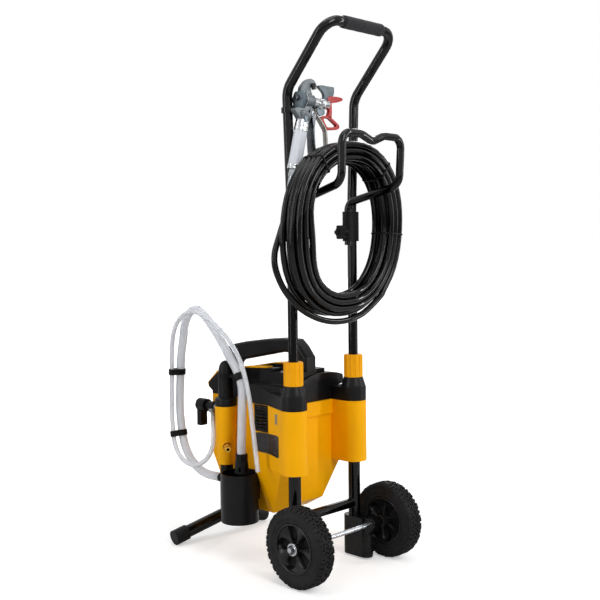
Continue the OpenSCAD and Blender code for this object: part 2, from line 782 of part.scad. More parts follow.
module tub(inset, top) {
    w = inset;
    hull() {
        block(-body_half + w, body_half - w, corner_y + w, block_rear - w, shoulder_z, top);
        block(-tub_half + w, tub_half - w, corner_y + w, -160 - w, tub_z + w, tub_z + w + 1);
        block(
            -tub_rear_half + w, tub_rear_half - w, block_rear - w - 1, block_rear - w,
            tub_rear_z + w, tub_rear_z + w + 1
        );
    }
    hull() {
        block(-body_half + w, near_x - w, block_front + w, corner_y + w + 1, shoulder_z, top);
        block(-tub_half + w, tub_half - w, -300 + w, corner_y + w + 1, tub_z + w, tub_z + w + 1);
    }
}

vent_y0 = -171;
vent_y1 = -136;
vent_z0 = 283;
vent_z1 = 333;
screw_places = [[-190, 225], [-190, 320], [-330, 225], [-330, 320]];
gland_y = -300;
gland_z = 290;
neck_y0 = -292;
neck_y1 = -262;
neck_z0 = 254;
neck_z1 = 285;
rail_y = -213;

module lower_shell() color("#f5ad00") at_axle() {
    difference() {
        union() {
            tub(0, seam_z);
            both_sides() sleeve_plan(sleeve_z0, seam_z);
            block(-recess_x, recess_x, block_rear - 1, block_rear + 5, 308, seam_z);
            rod_z(200, seam_z, 0, -post_ahead, foot_r + 3.5);
            block(-12, 12, -post_ahead, block_front + 1, 205, seam_z);
        }
        tub(shell_wall, seam_z + 1);
        upright_bores(sleeve_z0 - 1, seam_z + 1, upright_r + fit);
        rod_z(199, post_top + gap, 0, -post_ahead, foot_r + fit);
        both_sides() block(body_half - 4, body_half + 1, vent_y0, vent_y1, vent_z0, vent_z1);
        block(near_x - 4, near_x + 1, neck_y0 - gap, neck_y1 + gap, neck_z0 - gap, neck_z1 + gap);
        rod_x(-body_half - 1, -body_half + 4, gland_y, gland_z, 7.5 + fit);
        for (p = screw_places) rod_x(-body_half - 1, -body_half + 4, p[0], p[1], 1.9 + fit);
    }
    // Rail that carries the drip cup
    block(near_x - 1, near_x + 4, rail_y - 3, rail_y + 3, 122, 186);
    block(near_x + 4, near_x + 6.5, rail_y - 7, rail_y + 7, 122, 186);
}

// Heights of the cap's long top, from the nose to the rear
cap_ridge = [[-369, 362], [-337, 388], [-246, 405], [-150, 411], [-126, 402], [-112, 388]];
function ridge_z(y) = lookup(y, cap_ridge);
cap_z0 = seam_z + gap;
boss_z = seam_z + 28;
boss_top = seam_z + 49;
cap_step_y = -188;
cap_side_z = 378;
valley_half = 34;
valley_z = 385;
valley_y0 = -320;
valley_y1 = -130;

module upper_cap() color("#232021") at_axle()
    difference() {
        union() {
            plate_yz(concat([[-112, cap_z0], [-346, cap_z0], [-367, 352]], cap_ridge), -60, near_x);
            block(-60, 60, cap_step_y, -112, cap_z0, 405);
            block(-body_half, body_half, cap_step_y, block_rear, cap_z0, cap_side_z);
            plate_yz([
                [block_front, cap_z0], [block_front, 370], [-346, cap_side_z],
                [cap_step_y, cap_side_z], [cap_step_y, cap_z0]
            ], -body_half, near_x);
            both_sides() sleeve_plan(cap_z0, boss_z);
            both_sides() rod_z(boss_z, boss_top, upright_x, upright_y, sleeve_r, 20.5);
            plate_xz([
                [-66, 370], [-58, 392], [-30, 402], [-5, 404], [30, 400], [56, 390], [66, 370]
            ], -128, 46);
        }
        block(
            -body_half + shell_wall, body_half - shell_wall,
            cap_step_y + shell_wall, block_rear - shell_wall, 330, 375
        );
        block(-body_half + shell_wall, near_x - shell_wall, -340, cap_step_y + shell_wall, 330, 375);
        block(-57, near_x - shell_wall, -330, -130, 330, 382);
        block(-valley_half, valley_half, valley_y0, valley_y1, valley_z, 420);
        block(-70, 70, -150, -90, 404.5, 430);
        upright_bores(cap_z0 - 1, boss_top + 1, upright_r + fit);
    }

// Yellow strip over the cap: the nose and two rails along the valley
cover_t = 3;
cover_rear = -175;
module top_cover() color("#f5ad00") at_axle()
    difference() {
        plate_yz([
            [-367 - cover_t, 353], [-369 - cover_t, 362], [-338.5, 388 + cover_t], [-246, 405 + cover_t],
            [cover_rear, ridge_z(cover_rear) + cover_t], [cover_rear, ridge_z(cover_rear) + 0.1],
            [-246, 405.1], [-337, 388.1], [-369.2, 362], [-367.4, 353]
        ], -59, near_x - 1);
        block(-valley_half, valley_half, -350, cover_rear + 1, 370, 430);
    }

// Carry handle: its feet stand on the ridge before the valley and on the hump behind it
grab_half = 17;
module carry_handle() color("#1d1a1b") at_axle()
    difference() {
        plate_yz([
            [-349, 370], [-347, 432], [-339, 446], [-284, 457], [-219, 466], [-166, 471], [-129, 470],
            [-112, 456], [-94, 434], [-94, 398], [-122, 398], [-124, 428], [-140, 441], [-166, 441],
            [-245, 425], [-312, 412], [-321, 404], [-322, 370]
        ], -grab_half, grab_half);
        plate_yz([
            [-380, 300], [-369, 362.3], [-337, 388.3], [-246, 405.3], [-246, 300]
        ], -30, 30);
        block(-30, 30, -150, -80, 380, 404.5 + gap);
    }

module vent_grille() color("#151314") at_axle() both_sides()
    difference() {
        union() {
            difference() {
                block(
                    body_half - 3.5, body_half + 0.6, vent_y0 + gap / 2, vent_y1 - gap / 2,
                    vent_z0 + gap / 2, vent_z1 - gap / 2
                );
                block(body_half - 5, body_half + 2, vent_y0 + 3, vent_y1 - 3, vent_z0 + 3, vent_z1 - 3);
            }
            for (i = [0 : 4])
                translate([body_half - 1.4, 0, vent_z0 + 7.5 + 9 * i]) rotate([0, 30, 0])
                    block(-1.6, 1.8, vent_y0 + 2.5, vent_y1 - 2.5, -1.5, 1.5);
        }
        block(body_half - 9, body_half - 3.5, vent_y0, vent_y1, vent_z0, vent_z1);
    }

// Control panel on the housing's front, with the pressure knob over the rocker switch
panel_t = 5;
panel_x = -53;
panel_face = block_front - 0.15 - panel_t;
knob_at_z = 294;
switch_z = 246;
switch_half = [7, 11];

module control_panel() color("#2b2b2d") at_axle()
    difference() {
        block(panel_x - 28, panel_x + 28, panel_face, block_front - 0.15, 222, 328);
        block(
            panel_x - switch_half[0] - gap, panel_x + switch_half[0] + gap, panel_face - 1, block_front,
            switch_z - switch_half[1] - gap, switch_z + switch_half[1] + gap
        );
        rod_y(panel_face - 1, block_front, panel_x, knob_at_z, 4 + fit);
    }

module pressure_knob() color("#1c1c1e") at_axle() {
    rod_y(panel_face - 1, block_front - 0.5, panel_x, knob_at_z, 4);
    difference() {
        rod_y(panel_face - 14, panel_face - gap, panel_x, knob_at_z, 14.5, 17);
        block(panel_x - 1, panel_x + 1, panel_face - 15, panel_face - 12, knob_at_z + 4, knob_at_z + 18);
    }
}

module power_switch() color("#b3261e") at_axle()
    plate_yz([
        [panel_face + 1, switch_z - 10.6], [panel_face - 2, switch_z - 10], [panel_face - 0.4, switch_z],
        [panel_face - 2, switch_z + 10], [panel_face + 1, switch_z + 10.6], [panel_face + 3.5, switch_z + 5],
        [panel_face + 3.5, switch_z - 5]
    ], panel_x - switch_half[0], panel_x + switch_half[0]);

module cord_gland() color("#1a1a1b") at_axle()
    difference() {
        union() {
            rod_x(-body_half - 4, -body_half - gap / 2, gland_y, gland_z, 11);
            rod_x(-body_half - 1, -body_half + 7, gland_y, gland_z, 7.5);
            rod_x(-body_half - 20, -body_half - 4, gland_y, gland_z, 6, 8.5);
            rod_x(-body_half + 2.5 + gap / 2, -body_half + 6.5, gland_y, gland_z, 11, fn = 6);
        }
        rod_x(-body_half - 21, -body_half + 8, gland_y, gland_z, 4);
    }

module body_screws() color("#3a3a3c") at_axle()
    for (p = screw_places) {
        rod_x(-body_half - 2.2, -body_half - 0.05, p[0], p[1], 3, 4.2);
        rod_x(-body_half - 1, -body_half + 9, p[0], p[1], 1.9);
    }

// ---- pump ----
inlet_z = 160;
boss_r = 9;
boss_front = -336;
outlet_z = 235;
outlet_dir = [0.6, 0.8, 0];

module outlet_rod(t0, t1, r, fn = $fn) {
    root = [pump_x, pump_y, outlet_z];
    rod(root + outlet_dir * t0, root + outlet_dir * t1, r, fn = fn);
}

module pump_block() color("#8e9194") at_axle()
    difference() {
        union() {
            rod_z(column_z0, 338, pump_x, pump_y, column_r);
            block(38, pump_x, neck_y0, neck_y1, neck_z0, neck_z1);
            block(38, 49, neck_y1 - 1, -252, neck_z0, neck_z1);
            rod_y(boss_front, pump_y, pump_x, valve_z, boss_r);
            block(pump_x, 98, -314, -303, 305.5, 313);
            rod_z(300.5, 306, 92, -307, 5.5);
            rod_z(288, 301, 92, -307, 2.9);
        }
        rod_x(30, 75, pump_y, piston_z, 7 + fit);
        rod_z(column_z0 - 1, 330, pump_x, pump_y, 5);
        rod_y(boss_front - 1, pump_y + 1, pump_x, valve_z, 5 + fit);
        outlet_rod(0, 20, 4);
        rod_z(287, 309, 92, -307, 1.5);
    }

module pump_shroud() color("#f5ad00") at_axle()
    difference() {
        translate([pump_x, pump_y, 0])
            rotate_extrude()
                polygon([
                    [column_r + gap, column_z0], [18, column_z0], [20, 224], [23, 267], [24, 322],
                    [21.5, 322], [20.5, 267], [17.6, 224], [column_r + gap, 200]
                ]);
        block(near_x + 1, pump_x, neck_y0 - gap, neck_y1 + gap, neck_z0 - gap, neck_z1 + gap);
        rod_y(-330, pump_y, pump_x, valve_z, boss_r + gap);
        outlet_rod(0, 47, 9.3);
    }

// Cap over the pump's head: band, cone and rounded peak
module pump_cap() color("#232021") at_axle()
    difference() {
        union() {
            rod_z(322 + gap, 340, pump_x, pump_y, 23.5);
            rod_z(340, 378, pump_x, pump_y, 16.5, 14.5);
            rod_z(378, 402, pump_x, pump_y, 14);
            rod_z(402, 421, pump_x, pump_y, 14, 7);
        }
        rod_z(321, 338 + gap, pump_x, pump_y, column_r + gap);
        rod_y(-330, pump_y, pump_x, valve_z, boss_r + gap);
    }

module inlet_nut() color("#1f1f20") at_axle()
    difference() {
        union() {
            rod_z(173, column_z0 - 0.1, pump_x, pump_y, 14, fn = 8);
            rod_z(149, 174, pump_x, pump_y, 10);
            rod_y(pump_y - 23, pump_y, pump_x, inlet_z, 9);
            rod_y(pump_y - 41, pump_y - 22, pump_x, inlet_z, 6.4);
        }
        rod_z(inlet_z - 5, column_z0 + 1, pump_x, pump_y, 4.5);
        rod_y(pump_y - 42, pump_y, pump_x, inlet_z, 4);
    }

// Knob of the prime and spray valve, with its tab down
module prime_valve() color("#1c1c1d") at_axle() {
    rod_y(-366, -340, pump_x, valve_z, 14);
    rod_y(-341, -300, pump_x, valve_z, 5);
    block(pump_x - 9, pump_x + 9, -366, -352, valve_z - 46, valve_z);
}

module outlet_fitting() color("#c0a060") at_axle()
    difference() {
        union() {
            outlet_rod(column_r + 0.1, 33, 9, fn = 6);
            outlet_rod(32, 50, 6.35);
        }
        outlet_rod(10, 51, 3);
    }

suction_path = smooth(suction_route, 2);
return_path = smooth(return_route, 1);
echo("suction length", path_length(suction_path), "return length", path_length(return_path));
suction_bore = 7;
return_bore = 3.4;

module suction_tube() color("#c4b8a9") at_axle()
    difference() {
        swept_tube(suction_path, [1, 0, 0], suction_r, 12);
        swept_tube(longer(suction_path), [1, 0, 0], suction_bore, 12);
    }

module return_tube() color("#c9ccd0") at_axle()
    difference() {
        swept_tube(return_path, [1, 0, 0], return_r, 8);
        swept_tube(longer(return_path), [1, 0, 0], return_bore, 8);
    }

// The same path, drawn out by 1 mm past each end
function longer(path) =
    let(n = len(path) - 1)
    concat(
        [path[0] + unit(path[0] - path[1])],
        [for (i = [1 : n - 1]) path[i]],
        [path[n] + unit(path[n] - path[n - 1])]
    );

// Clips that hold the two tubes side by side, and one that holds the suction tube off the pump cap
clip_wall = 2.4;
clip_h = 13;
clip_slack = 0.6;

function at_height(p, q, z) = p + (q - p) * (z - p[2]) / (q[2] - p[2]);

// Cuff, and its bore, round a tube of radius r that runs through mid in direction u
module cuff(mid, u, r) rod(mid - u * clip_h / 2, mid + u * clip_h / 2, r + clip_slack + clip_wall);
module cuff_bore(mid, u, r) rod(mid - u * clip_h, mid + u * clip_h, r + clip_slack);

// Clip at point i of the suction tube's path, where stretch t of the return tube passes
module tube_clip(i, t) {
    a = suction_path[i];
    u = heading(suction_path, i);
    b = at_height(return_route[t], return_route[t + 1], a[2]);
    v = unit(return_route[t + 1] - return_route[t]);
    difference() {
        union() {
            cuff(a, u, suction_r);
            cuff(b, v, return_r);
            rod(a, b, 4);
        }
        cuff_bore(a, u, suction_r);
        cuff_bore(b, v, return_r);
    }
}

// Arm from a ring round the pump cap to the rising end of the suction tube
module cap_clip(i) {
    a = suction_path[i];
    u = heading(suction_path, i);
    difference() {
        union() {
            cuff(a, u, suction_r);
            rod_z(382, 394, pump_x, pump_y, 14 + clip_wall);
            rod([pump_x, pump_y, 388], a, 4.5);
        }
        cuff_bore(a, u, suction_r);
        rod_z(376, 400, pump_x, pump_y, 14 + fit);
    }
}

module tube_clips() color("#19191a") at_axle() {
    tube_clip(30, 9);
    tube_clip(35, 7);
    cap_clip(10);
}

// Strainer on the end of the suction tube: barb, nut and slotted skirt
module strainer() {
    x = suction_route[0][0];
    y = suction_route[0][1];
    z1 = suction_route[0][2] - 0.4;
    z0 = 190;
    color("#1f1f20") at_axle()
        difference() {
            union() {
                rod_z(z1 - 1, z1 + 17, x, y, 6.4);
                rod_z(z1 - 16, z1, x, y, 13, fn = 8);
                rod_z(z0, z1 - 16, x, y, 15.5, 13.5);
            }
            rod_z(z0 + 3, z1 + 18, x, y, 4.5);
            rod_z(z0 - 1, z0 + 20, x, y, 11);
            for (i = [0 : 5])
                translate([x, y, z0]) rotate([0, 0, 60 * i + 30])
                    translate([13.5, 0, 9]) cube([8, 5, 10], center = true);
        }
}

cup_x = 100;
cup_y = -213;
cup_z0 = 84;
cup_wall = 2;

module drip_cup() color("#1d1d1e") at_axle()
    difference() {
        union() {
            rod_z(cup_z0, cup_z0 + cup_h, cup_x, cup_y, cup_r);
            block(near_x + gap, cup_x - cup_r + 6, rail_y - 11, rail_y + 11, 124, 184);
        }
        rod_z(cup_z0 + cup_wall, cup_z0 + cup_h + 1, cup_x, cup_y, cup_r - cup_wall);
        block(near_x, near_x + 4 + 1, rail_y - 3 - gap, rail_y + 3 + gap, 100, 182);
        block(near_x + 4 - gap, near_x + 6.5 + gap, rail_y - 7 - gap, rail_y + 7 + gap, 100, 186 + gap);
        block(near_x, near_x + 4 + 1, rail_y - 3 - gap, rail_y + 3 + gap, 181, 190);
    }

// ---- drive ----
motor_x = -20;
motor_z = 215;
gear_z = piston_z;
shaft_r = 5;
pinion_r = 9;
gear_r = gear_z - motor_z - pinion_r - 0.5;
gear_shaft_r = 6;
crank_r = 9;
plate_y0 = -252;
plate_y1 = -240;

module motor() color("#6d7073") at_axle()
    difference() {
        union() {
            rod_y(plate_y1, -122, motor_x, motor_z, 44);
            block(-body_half + shell_wall + gap, near_x - shell_wall - gap, plate_y0, plate_y1, 205, 330);
            rod_y(plate_y0, plate_y1, motor_x, motor_z, 40);
        }
        rod_y(plate_y1, -126, motor_x, motor_z, 30);
        rod_y(plate_y0 - 1, plate_y1 + 1, motor_x, motor_z, shaft_r + fit);
        rod_y(-127, -120, motor_x, motor_z, shaft_r + fit);
        rod_y(plate_y0 - 1, plate_y1 + 1, motor_x, gear_z, gear_shaft_r + fit);
    }

module rotor() color("#a9764a") at_axle() {
    rod_y(plate_y0 - 12, -121, motor_x, motor_z, shaft_r);
    rod_y(plate_y1 + 8, -134, motor_x, motor_z, 29);
    rod_y(plate_y0 - 10, plate_y0 - gap, motor_x, motor_z, pinion_r);
}

module drive_gear() color("#75787b") at_axle() {
    rod_y(plate_y0 - 10, plate_y0 - gap, motor_x, gear_z, gear_r);
    rod_y(plate_y0 - 1, plate_y1 + 6, motor_x, gear_z, gear_shaft_r);
    rod_y(plate_y0 - 32, plate_y0 - 9, motor_x + crank_r, gear_z, 4);
}

// Yoke round the crank pin, open enough for every place of the pin, and the piston rod
module piston() color("#b9bcc0") at_axle() {
    y0 = pump_y - 6;
    y1 = pump_y + 6;
    difference() {
        block(motor_x - 30, motor_x + 30, y0, y1, gear_z - 21, gear_z + 21);
        block(motor_x - 24, motor_x + 24, y0 - 1, y1 + 1, gear_z - 15, gear_z + 15);
    }
    rod_x(motor_x + 29, 65, pump_y, piston_z, 7);
}

uprights();
cross_tube();
axle_boots();
axle();
axle_nuts();
front_stand();
foot_caps();
hub_left();
hub_right();
tyre_left();
tyre_right();
handle_tube();
handle_grip();
hose_hook();
hook_clamps();
star_knob_left();
star_knob_right();
gun_holder();
collar_left();
collar_right();
gun_body();
gun_grip();
gun_swivel();
gun_trigger();
trigger_pin();
trigger_guard();
trigger_lock();
gun_needle();
nozzle_nut();
tip_guard();
spray_tip();
hose_coil();
hose_lead();
hose_ties();
hose_fittings();
lower_shell();
upper_cap();
top_cover();
carry_handle();
vent_grille();
control_panel();
pressure_knob();
power_switch();
cord_gland();
body_screws();
pump_block();
pump_shroud();
pump_cap();
inlet_nut();
prime_valve();
outlet_fitting();
suction_tube();
return_tube();
tube_clips();
strainer();
drip_cup();
motor();
rotor();
drive_gear();
piston();
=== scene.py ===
import math

import bmesh
import bpy
from mathutils import Matrix, Vector


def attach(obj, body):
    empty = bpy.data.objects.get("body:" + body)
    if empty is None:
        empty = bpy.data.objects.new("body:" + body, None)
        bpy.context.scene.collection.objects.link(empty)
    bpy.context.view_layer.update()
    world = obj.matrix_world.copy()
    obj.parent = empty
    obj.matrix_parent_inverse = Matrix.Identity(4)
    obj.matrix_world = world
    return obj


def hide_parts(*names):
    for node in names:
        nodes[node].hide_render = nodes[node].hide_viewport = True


AXLE_Y = 180.175    # of the wheel axle in the part's frame
AXLE_Z = 80
WHEEL_MID = 134.5    # X of a wheel's middle plane
UPRIGHT_X = 90
GUN_Y = -34    # the gun's middle plane
SIDE_X = 88    # the housing's flat side
PUMP_X, PUMP_Y = 80, -277    # the pump's upright axis
X_AXIS, Z_AXIS = (1, 0, 0), (0, 0, 1)
SIDES = (("left", 1), ("right", -1))

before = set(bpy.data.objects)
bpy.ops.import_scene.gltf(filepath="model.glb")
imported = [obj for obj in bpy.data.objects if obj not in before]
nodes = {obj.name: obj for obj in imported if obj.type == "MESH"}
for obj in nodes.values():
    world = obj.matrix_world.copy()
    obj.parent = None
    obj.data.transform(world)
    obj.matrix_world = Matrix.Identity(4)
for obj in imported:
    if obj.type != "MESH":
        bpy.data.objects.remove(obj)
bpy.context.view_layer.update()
scene = bpy.context.scene


def P(x, y, z):
    """A point of part.scad's modules, in metres in the part's frame."""
    return Vector((x, y + AXLE_Y, z)) / 1000


def vectors(points):
    return [Vector(p) for p in points]


def metres(points):
    return [P(*p) for p in points]


# ---- camera, as solved from the photo ----
CAMERA_TURNS = (134.91, 3.19, -0.70)    # azimuth, elevation and roll
CAMERA_AT = (1.4282, 1.479375, 0.6656)
LENS = 57.31


def put(name, data):
    """A new object in the scene."""
    o = bpy.data.objects.new(name, data)
    scene.collection.objects.link(o)
    return o


def aim_camera():
    az, el, roll = (math.radians(a) for a in CAMERA_TURNS)
    back = Vector((math.sin(az) * math.cos(el), -math.cos(az) * math.cos(el), math.sin(el)))
    right = Vector((math.cos(az), math.sin(az), 0))
    up = back.cross(right)
    side = right * math.cos(roll) + up * math.sin(roll)
    top = -right * math.sin(roll) + up * math.cos(roll)
    data = bpy.data.cameras.new("camera")
    data.sensor_width = 36
    data.lens = LENS
    camera = put("camera", data)
    camera.matrix_world = Matrix([(*row, at) for *row, at in zip(side, top, back, CAMERA_AT)] + [(0, 0, 0, 1)])
    scene.camera = camera


aim_camera()


# ---- materials ----
def linear(rgb):
    """An sRGB colour of 0 to 255 as linear RGBA."""
    return [(v / 255 / 12.92 if v / 255 <= 0.04045 else ((v / 255 + 0.055) / 1.055) ** 2.4) for v in rgb] + [1]


def scaled(rgb, share):
    return [min(255, v * share) for v in rgb]


def math_node(tree, kind, a, b=0.0):
    """Output of a Math node over two numbers or sockets."""
    node = tree.nodes.new("ShaderNodeMath")
    node.operation = kind
    for socket, value in zip(node.inputs, (a, b)):
        if isinstance(value, (int, float)):
            socket.default_value = value
        else:
            tree.links.new(value, socket)
    return node.outputs["Value"]


def range_node(tree, value, low, high, to_low, to_high, ease="LINEAR"):
    """Output of a Map Range node."""
    node = tree.nodes.new("ShaderNodeMapRange")
    node.interpolation_type = ease
    for socket, number in zip(("From Min", "From Max", "To Min", "To Max"), (low, high, to_low, to_high)):
        node.inputs[socket].default_value = number
    tree.links.new(value, node.inputs["Value"])
    return node.outputs["Result"]


class Paint:
    """A Principled material whose colour, roughness and relief come from noise in object space."""

    def __init__(self, name, **fixed):
        self.material = bpy.data.materials.new(name)
        self.material.use_nodes = True
        self.tree = self.material.node_tree
        self.nodes = self.tree.nodes
        self.links = self.tree.links
        self.shader = self.nodes["Principled BSDF"]
        self.place = self.nodes.new("ShaderNodeTexCoord").outputs["Object"]
        self.height = None
        for socket, value in fixed.items():
            self.shader.inputs[socket.replace("_", " ")].default_value = value

    def texture(self, kind, output, vector=None, **fixed):
        """Output of a new node over a vector, object space if none is given."""
        node = self.nodes.new("ShaderNode" + kind)
        for socket, value in fixed.items():
            node.inputs[socket].default_value = value
        self.links.new(vector or self.place, node.inputs["Vector"])
        return node.outputs[output]

    def stretched(self, scale):
        return self.texture("Mapping", "Vector", Scale=scale)

    def noise(self, scale, detail=2.0, rough=0.5, vector=None):
        return self.texture("TexNoise", "Fac", vector, Scale=scale, Detail=detail, Roughness=rough)

    def ranged(self, value, low, high, to_low, to_high):
        return range_node(self.tree, value, low, high, to_low, to_high)

    def maths(self, kind, a, b=0.0):
        return math_node(self.tree, kind, a, b)

    def axis(self, name):
        return self.texture("SeparateXYZ", name)

    def colour(self, dark, light, factor):
        """Base colour between two sRGB colours."""
        node = self.nodes.new("ShaderNodeMix")
        node.data_type = "RGBA"
        self.links.new(factor, node.inputs["Factor"])
        colours = [s for s in node.inputs if s.type == "RGBA"]
        for socket, value in zip(colours, (dark, light)):
            socket.default_value = linear(value)
        out = [s for s in node.outputs if s.type == "RGBA"][0]
        self.links.new(out, self.shader.inputs["Base Color"])

    def roughness(self, factor, low, high):
        self.links.new(self.ranged(factor, 0.3, 0.7, low, high), self.shader.inputs["Roughness"])

    def bump(self, height, distance, strength):
        node = self.nodes.new("ShaderNodeBump")
        node.inputs["Strength"].default_value = strength
        node.inputs["Distance"].default_value = distance
        self.links.new(height, node.inputs["Height"])
        if self.height:
            self.links.new(self.height, node.inputs["Normal"])
        self.height = node.outputs["Normal"]
        self.links.new(self.height, self.shader.inputs["Normal"])


def moulded(name, rgb, rough, relief=0.00012, shade=0.90, specular=0.5):
    """Moulded plastic: clouded colour, a fine spark-eroded grain and a roughness that drifts."""
    p = Paint(name, Specular_IOR_Level=specular)
    drift = p.ranged(p.noise(18, 3), 0.3, 0.7, 0, 1)
    p.colour(scaled(rgb, shade), rgb, drift)
    p.roughness(p.noise(60, 3), rough - 0.05, rough + 0.07)
    p.bump(p.noise(1500, 2, 0.6), relief, 0.55)
    return p.material


def painted(name, rgb, rough, specular):
    """Powder-coated tube: a low orange peel under a coat, with faint handling marks."""
    p = Paint(name, Specular_IOR_Level=specular)
    marks = p.ranged(p.noise(240, 6, 0.75, p.stretched((1, 1, 0.12))), 0.56, 0.75, 0, 1)
    p.colour(rgb, scaled(rgb, 1.9), marks)
    p.roughness(p.noise(90, 4), rough - 0.04, rough + 0.06)
    p.bump(p.noise(420, 2), 0.00003, 0.5)
    return p.material


def metal(name, rgb, rough, metallic=1.0, grain=300, relief=0.00005, stretch=(1, 1, 1), shade=0.8, pits=0.0):
    """Metal with a drifting tone, drawn or cast relief and uneven polish."""
    p = Paint(name, Metallic=metallic)
    wide = p.noise(70, 4)
    p.colour(scaled(rgb, shade), rgb, p.ranged(wide, 0.3, 0.7, 0, 1))
    p.roughness(p.noise(180, 4), rough - 0.07, rough + 0.1)
    p.bump(p.noise(grain, 4, 0.6, p.stretched(stretch)), relief, 0.6)
    if pits:
        p.bump(p.noise(pits, 2), 0.0002, 0.5)
    return p.material


def hub_plastic_with_painted_shade():
    """Hub plastic: satin where it stands proud, with painted shade that darkens it to near black down in the recesses
    between the spokes.
    """
    p = Paint("plastic_hub_painted_shade", Specular_IOR_Level=0.25)
    depth = p.maths("ABSOLUTE", p.maths("SUBTRACT", p.maths("ABSOLUTE", p.axis("X")), WHEEL_MID / 1000))
    clouds = p.maths("MULTIPLY", p.noise(40, 3), 0.0012)
    # painted shade: the colour runs from near black near the wheel's middle plane, deep in the recesses, to satin
    # grey on the spokes' crowns
    painted_shade_depth_mask = p.ranged(p.maths("ADD", depth, clouds), 0.0045, 0.0125, 0, 1)
    p.colour((1, 1, 1), (21, 21, 22), painted_shade_depth_mask)
    p.links.new(p.ranged(painted_shade_depth_mask, 0, 1, 0.6, 0.26), p.shader.inputs["Roughness"])
    p.bump(p.noise(900, 2), 0.00004, 0.4)
    return p.material


DARK = (12, 11, 12)
YELLOW = (250, 176, 0)

paint_black = painted("paint_black", (4, 3, 4), 0.09, 0.27)
dark_plastic = moulded("plastic_dark", DARK, 0.45, specular=0.14, shade=0.8)
cap_plastic = moulded("plastic_cap", (17, 16, 17), 0.34, specular=0.16, relief=0.0001, shade=0.8)
boot_plastic = moulded("plastic_boot", (9, 9, 10), 0.24, specular=0.3, relief=0.00004, shade=0.8)
hub_painted_shade_plastic = hub_plastic_with_painted_shade()
yellow_plastic = moulded("plastic_yellow", YELLOW, 0.42, shade=0.97, specular=0.1, relief=0.00008)
collar_plastic = moulded("plastic_collar", (247, 170, 2), 0.38, shade=0.95, specular=0.14, relief=0.00006)
red_plastic = moulded("plastic_red", (186, 22, 18), 0.3, shade=0.78, specular=0.35, relief=0.00005)
grip_plastic = moulded("plastic_grip", (214, 217, 225), 0.42, shade=0.93, specular=0.4, relief=0.00008)
zinc = metal("metal_zinc", (205, 208, 212), 0.22, grain=500, relief=0.00001, stretch=(0.1, 1, 1), shade=0.85)
chrome = metal("metal_chrome", (214, 217, 220), 0.16, grain=200, relief=0.00001, shade=0.82)
dark_chrome = metal("metal_dark_chrome", (96, 99, 103), 0.2, grain=200, relief=0.00001, shade=0.75)
steel = metal("metal_steel", (188, 192, 196), 0.28, shade=0.78)
satin = metal("metal_satin", (176, 171, 165), 0.4, 0.7)
cast_grey = metal("metal_gun", (112, 119, 123), 0.42, 0.45, grain=900, relief=0.00015, pits=260)
nut_grey = metal("metal_nut", (112, 126, 134), 0.34, 0.45)
flag_grey = metal("metal_flag", (98, 108, 114), 0.42, 0.4, grain=900, relief=0.0001)
cast_metal = metal("metal_cast", (158, 161, 164), 0.5, 0.9, grain=700, relief=0.0003, pits=200)
screw_black = metal("metal_screw", (58, 58, 60), 0.36, 0.8)


def rubber(name, rgb, rough, relief):
    """Rubber with a matt bloom and worn, paler ridges."""
    p = Paint(name, Specular_IOR_Level=0.14)
    bloom = p.ranged(p.noise(55, 6, 0.7), 0.38, 0.72, 0, 1)
    p.colour(rgb, scaled(rgb, 1.45), bloom)
    p.roughness(p.noise(120, 3), rough - 0.06, rough + 0.08)
    p.bump(p.noise(900, 4, 0.7), relief, 0.7)
    return p.material


tyre_rubber = rubber("rubber_tyre", (26, 26, 27), 0.62, 0.0003)
cap_rubber = rubber("rubber_cap", (14, 14, 15), 0.45, 0.00015)


def foam_material():
    """Closed-cell foam: packed pores over a soft dark skin."""
    p = Paint("foam_grip", Specular_IOR_Level=0.2, Sheen_Weight=0.12)
    pore = p.texture("TexVoronoi", "Distance", Scale=1100)
    p.colour((20, 20, 22), (42, 42, 45), p.ranged(pore, 0.05, 0.7, 0, 1))
    p.roughness(p.noise(80), 0.82, 0.95)
    p.bump(pore, 0.0004, 0.8)
    p.bump(p.noise(120, 3), 0.0006, 0.4)
    return p.material


def hose_material():
    """Extruded hose jacket: glossy black with faint draw lines and scuffs."""
    p = Paint("hose_jacket", Specular_IOR_Level=0.27)
    scuff = p.ranged(p.noise(130, 8, 0.75), 0.58, 0.78, 0, 1)
    p.colour((7, 7, 8), (18, 18, 18), scuff)
    p.roughness(scuff, 0.06, 0.12)
    p.bump(p.noise(260, 2), 0.00008, 0.4)
    return p.material


def tube_material(name, tint, haze):
    """Soft clear vinyl with a milky haze and slow ripples."""
    p = Paint(name, Specular_IOR_Level=0.5, Transmission_Weight=haze, IOR=1.16)
    p.colour(tint, (248, 249, 252), p.ranged(p.noise(45, 3), 0.35, 0.65, 0, 1))
    p.roughness(p.noise(70, 3), 0.08, 0.16)
    p.bump(p.noise(90, 2, 0.5, p.stretched((1, 1, 0.25))), 0.00015, 0.4)
    return p.material


def copper_material():
    """Armature: enamelled copper turns along the core."""
    p = Paint("metal_copper", Metallic=0.8)
    rings = p.maths("SINE", p.maths("MULTIPLY", p.axis("Y"), 5200))
    p.colour((120, 70, 34), (196, 128, 78), p.ranged(rings, -1, 1, 0, 1))
    p.roughness(p.noise(90), 0.3, 0.5)
    p.bump(rings, 0.0003, 0.6)
    return p.material


foam = foam_material()
jacket = hose_material()
suction_vinyl = tube_material("vinyl_suction", (244, 246, 250), 0.55)
return_vinyl = tube_material("vinyl_return", (246, 248, 251), 0.66)
brass = metal("metal_brass", (214, 164, 62), 0.34, shade=0.85)
copper = copper_material()
label_film = moulded("film_label", (30, 27, 28), 0.3, relief=0.00003, specular=0.4)
plate_film = moulded("film_plate", (138, 132, 112), 0.4, relief=0.00003, specular=0.4)

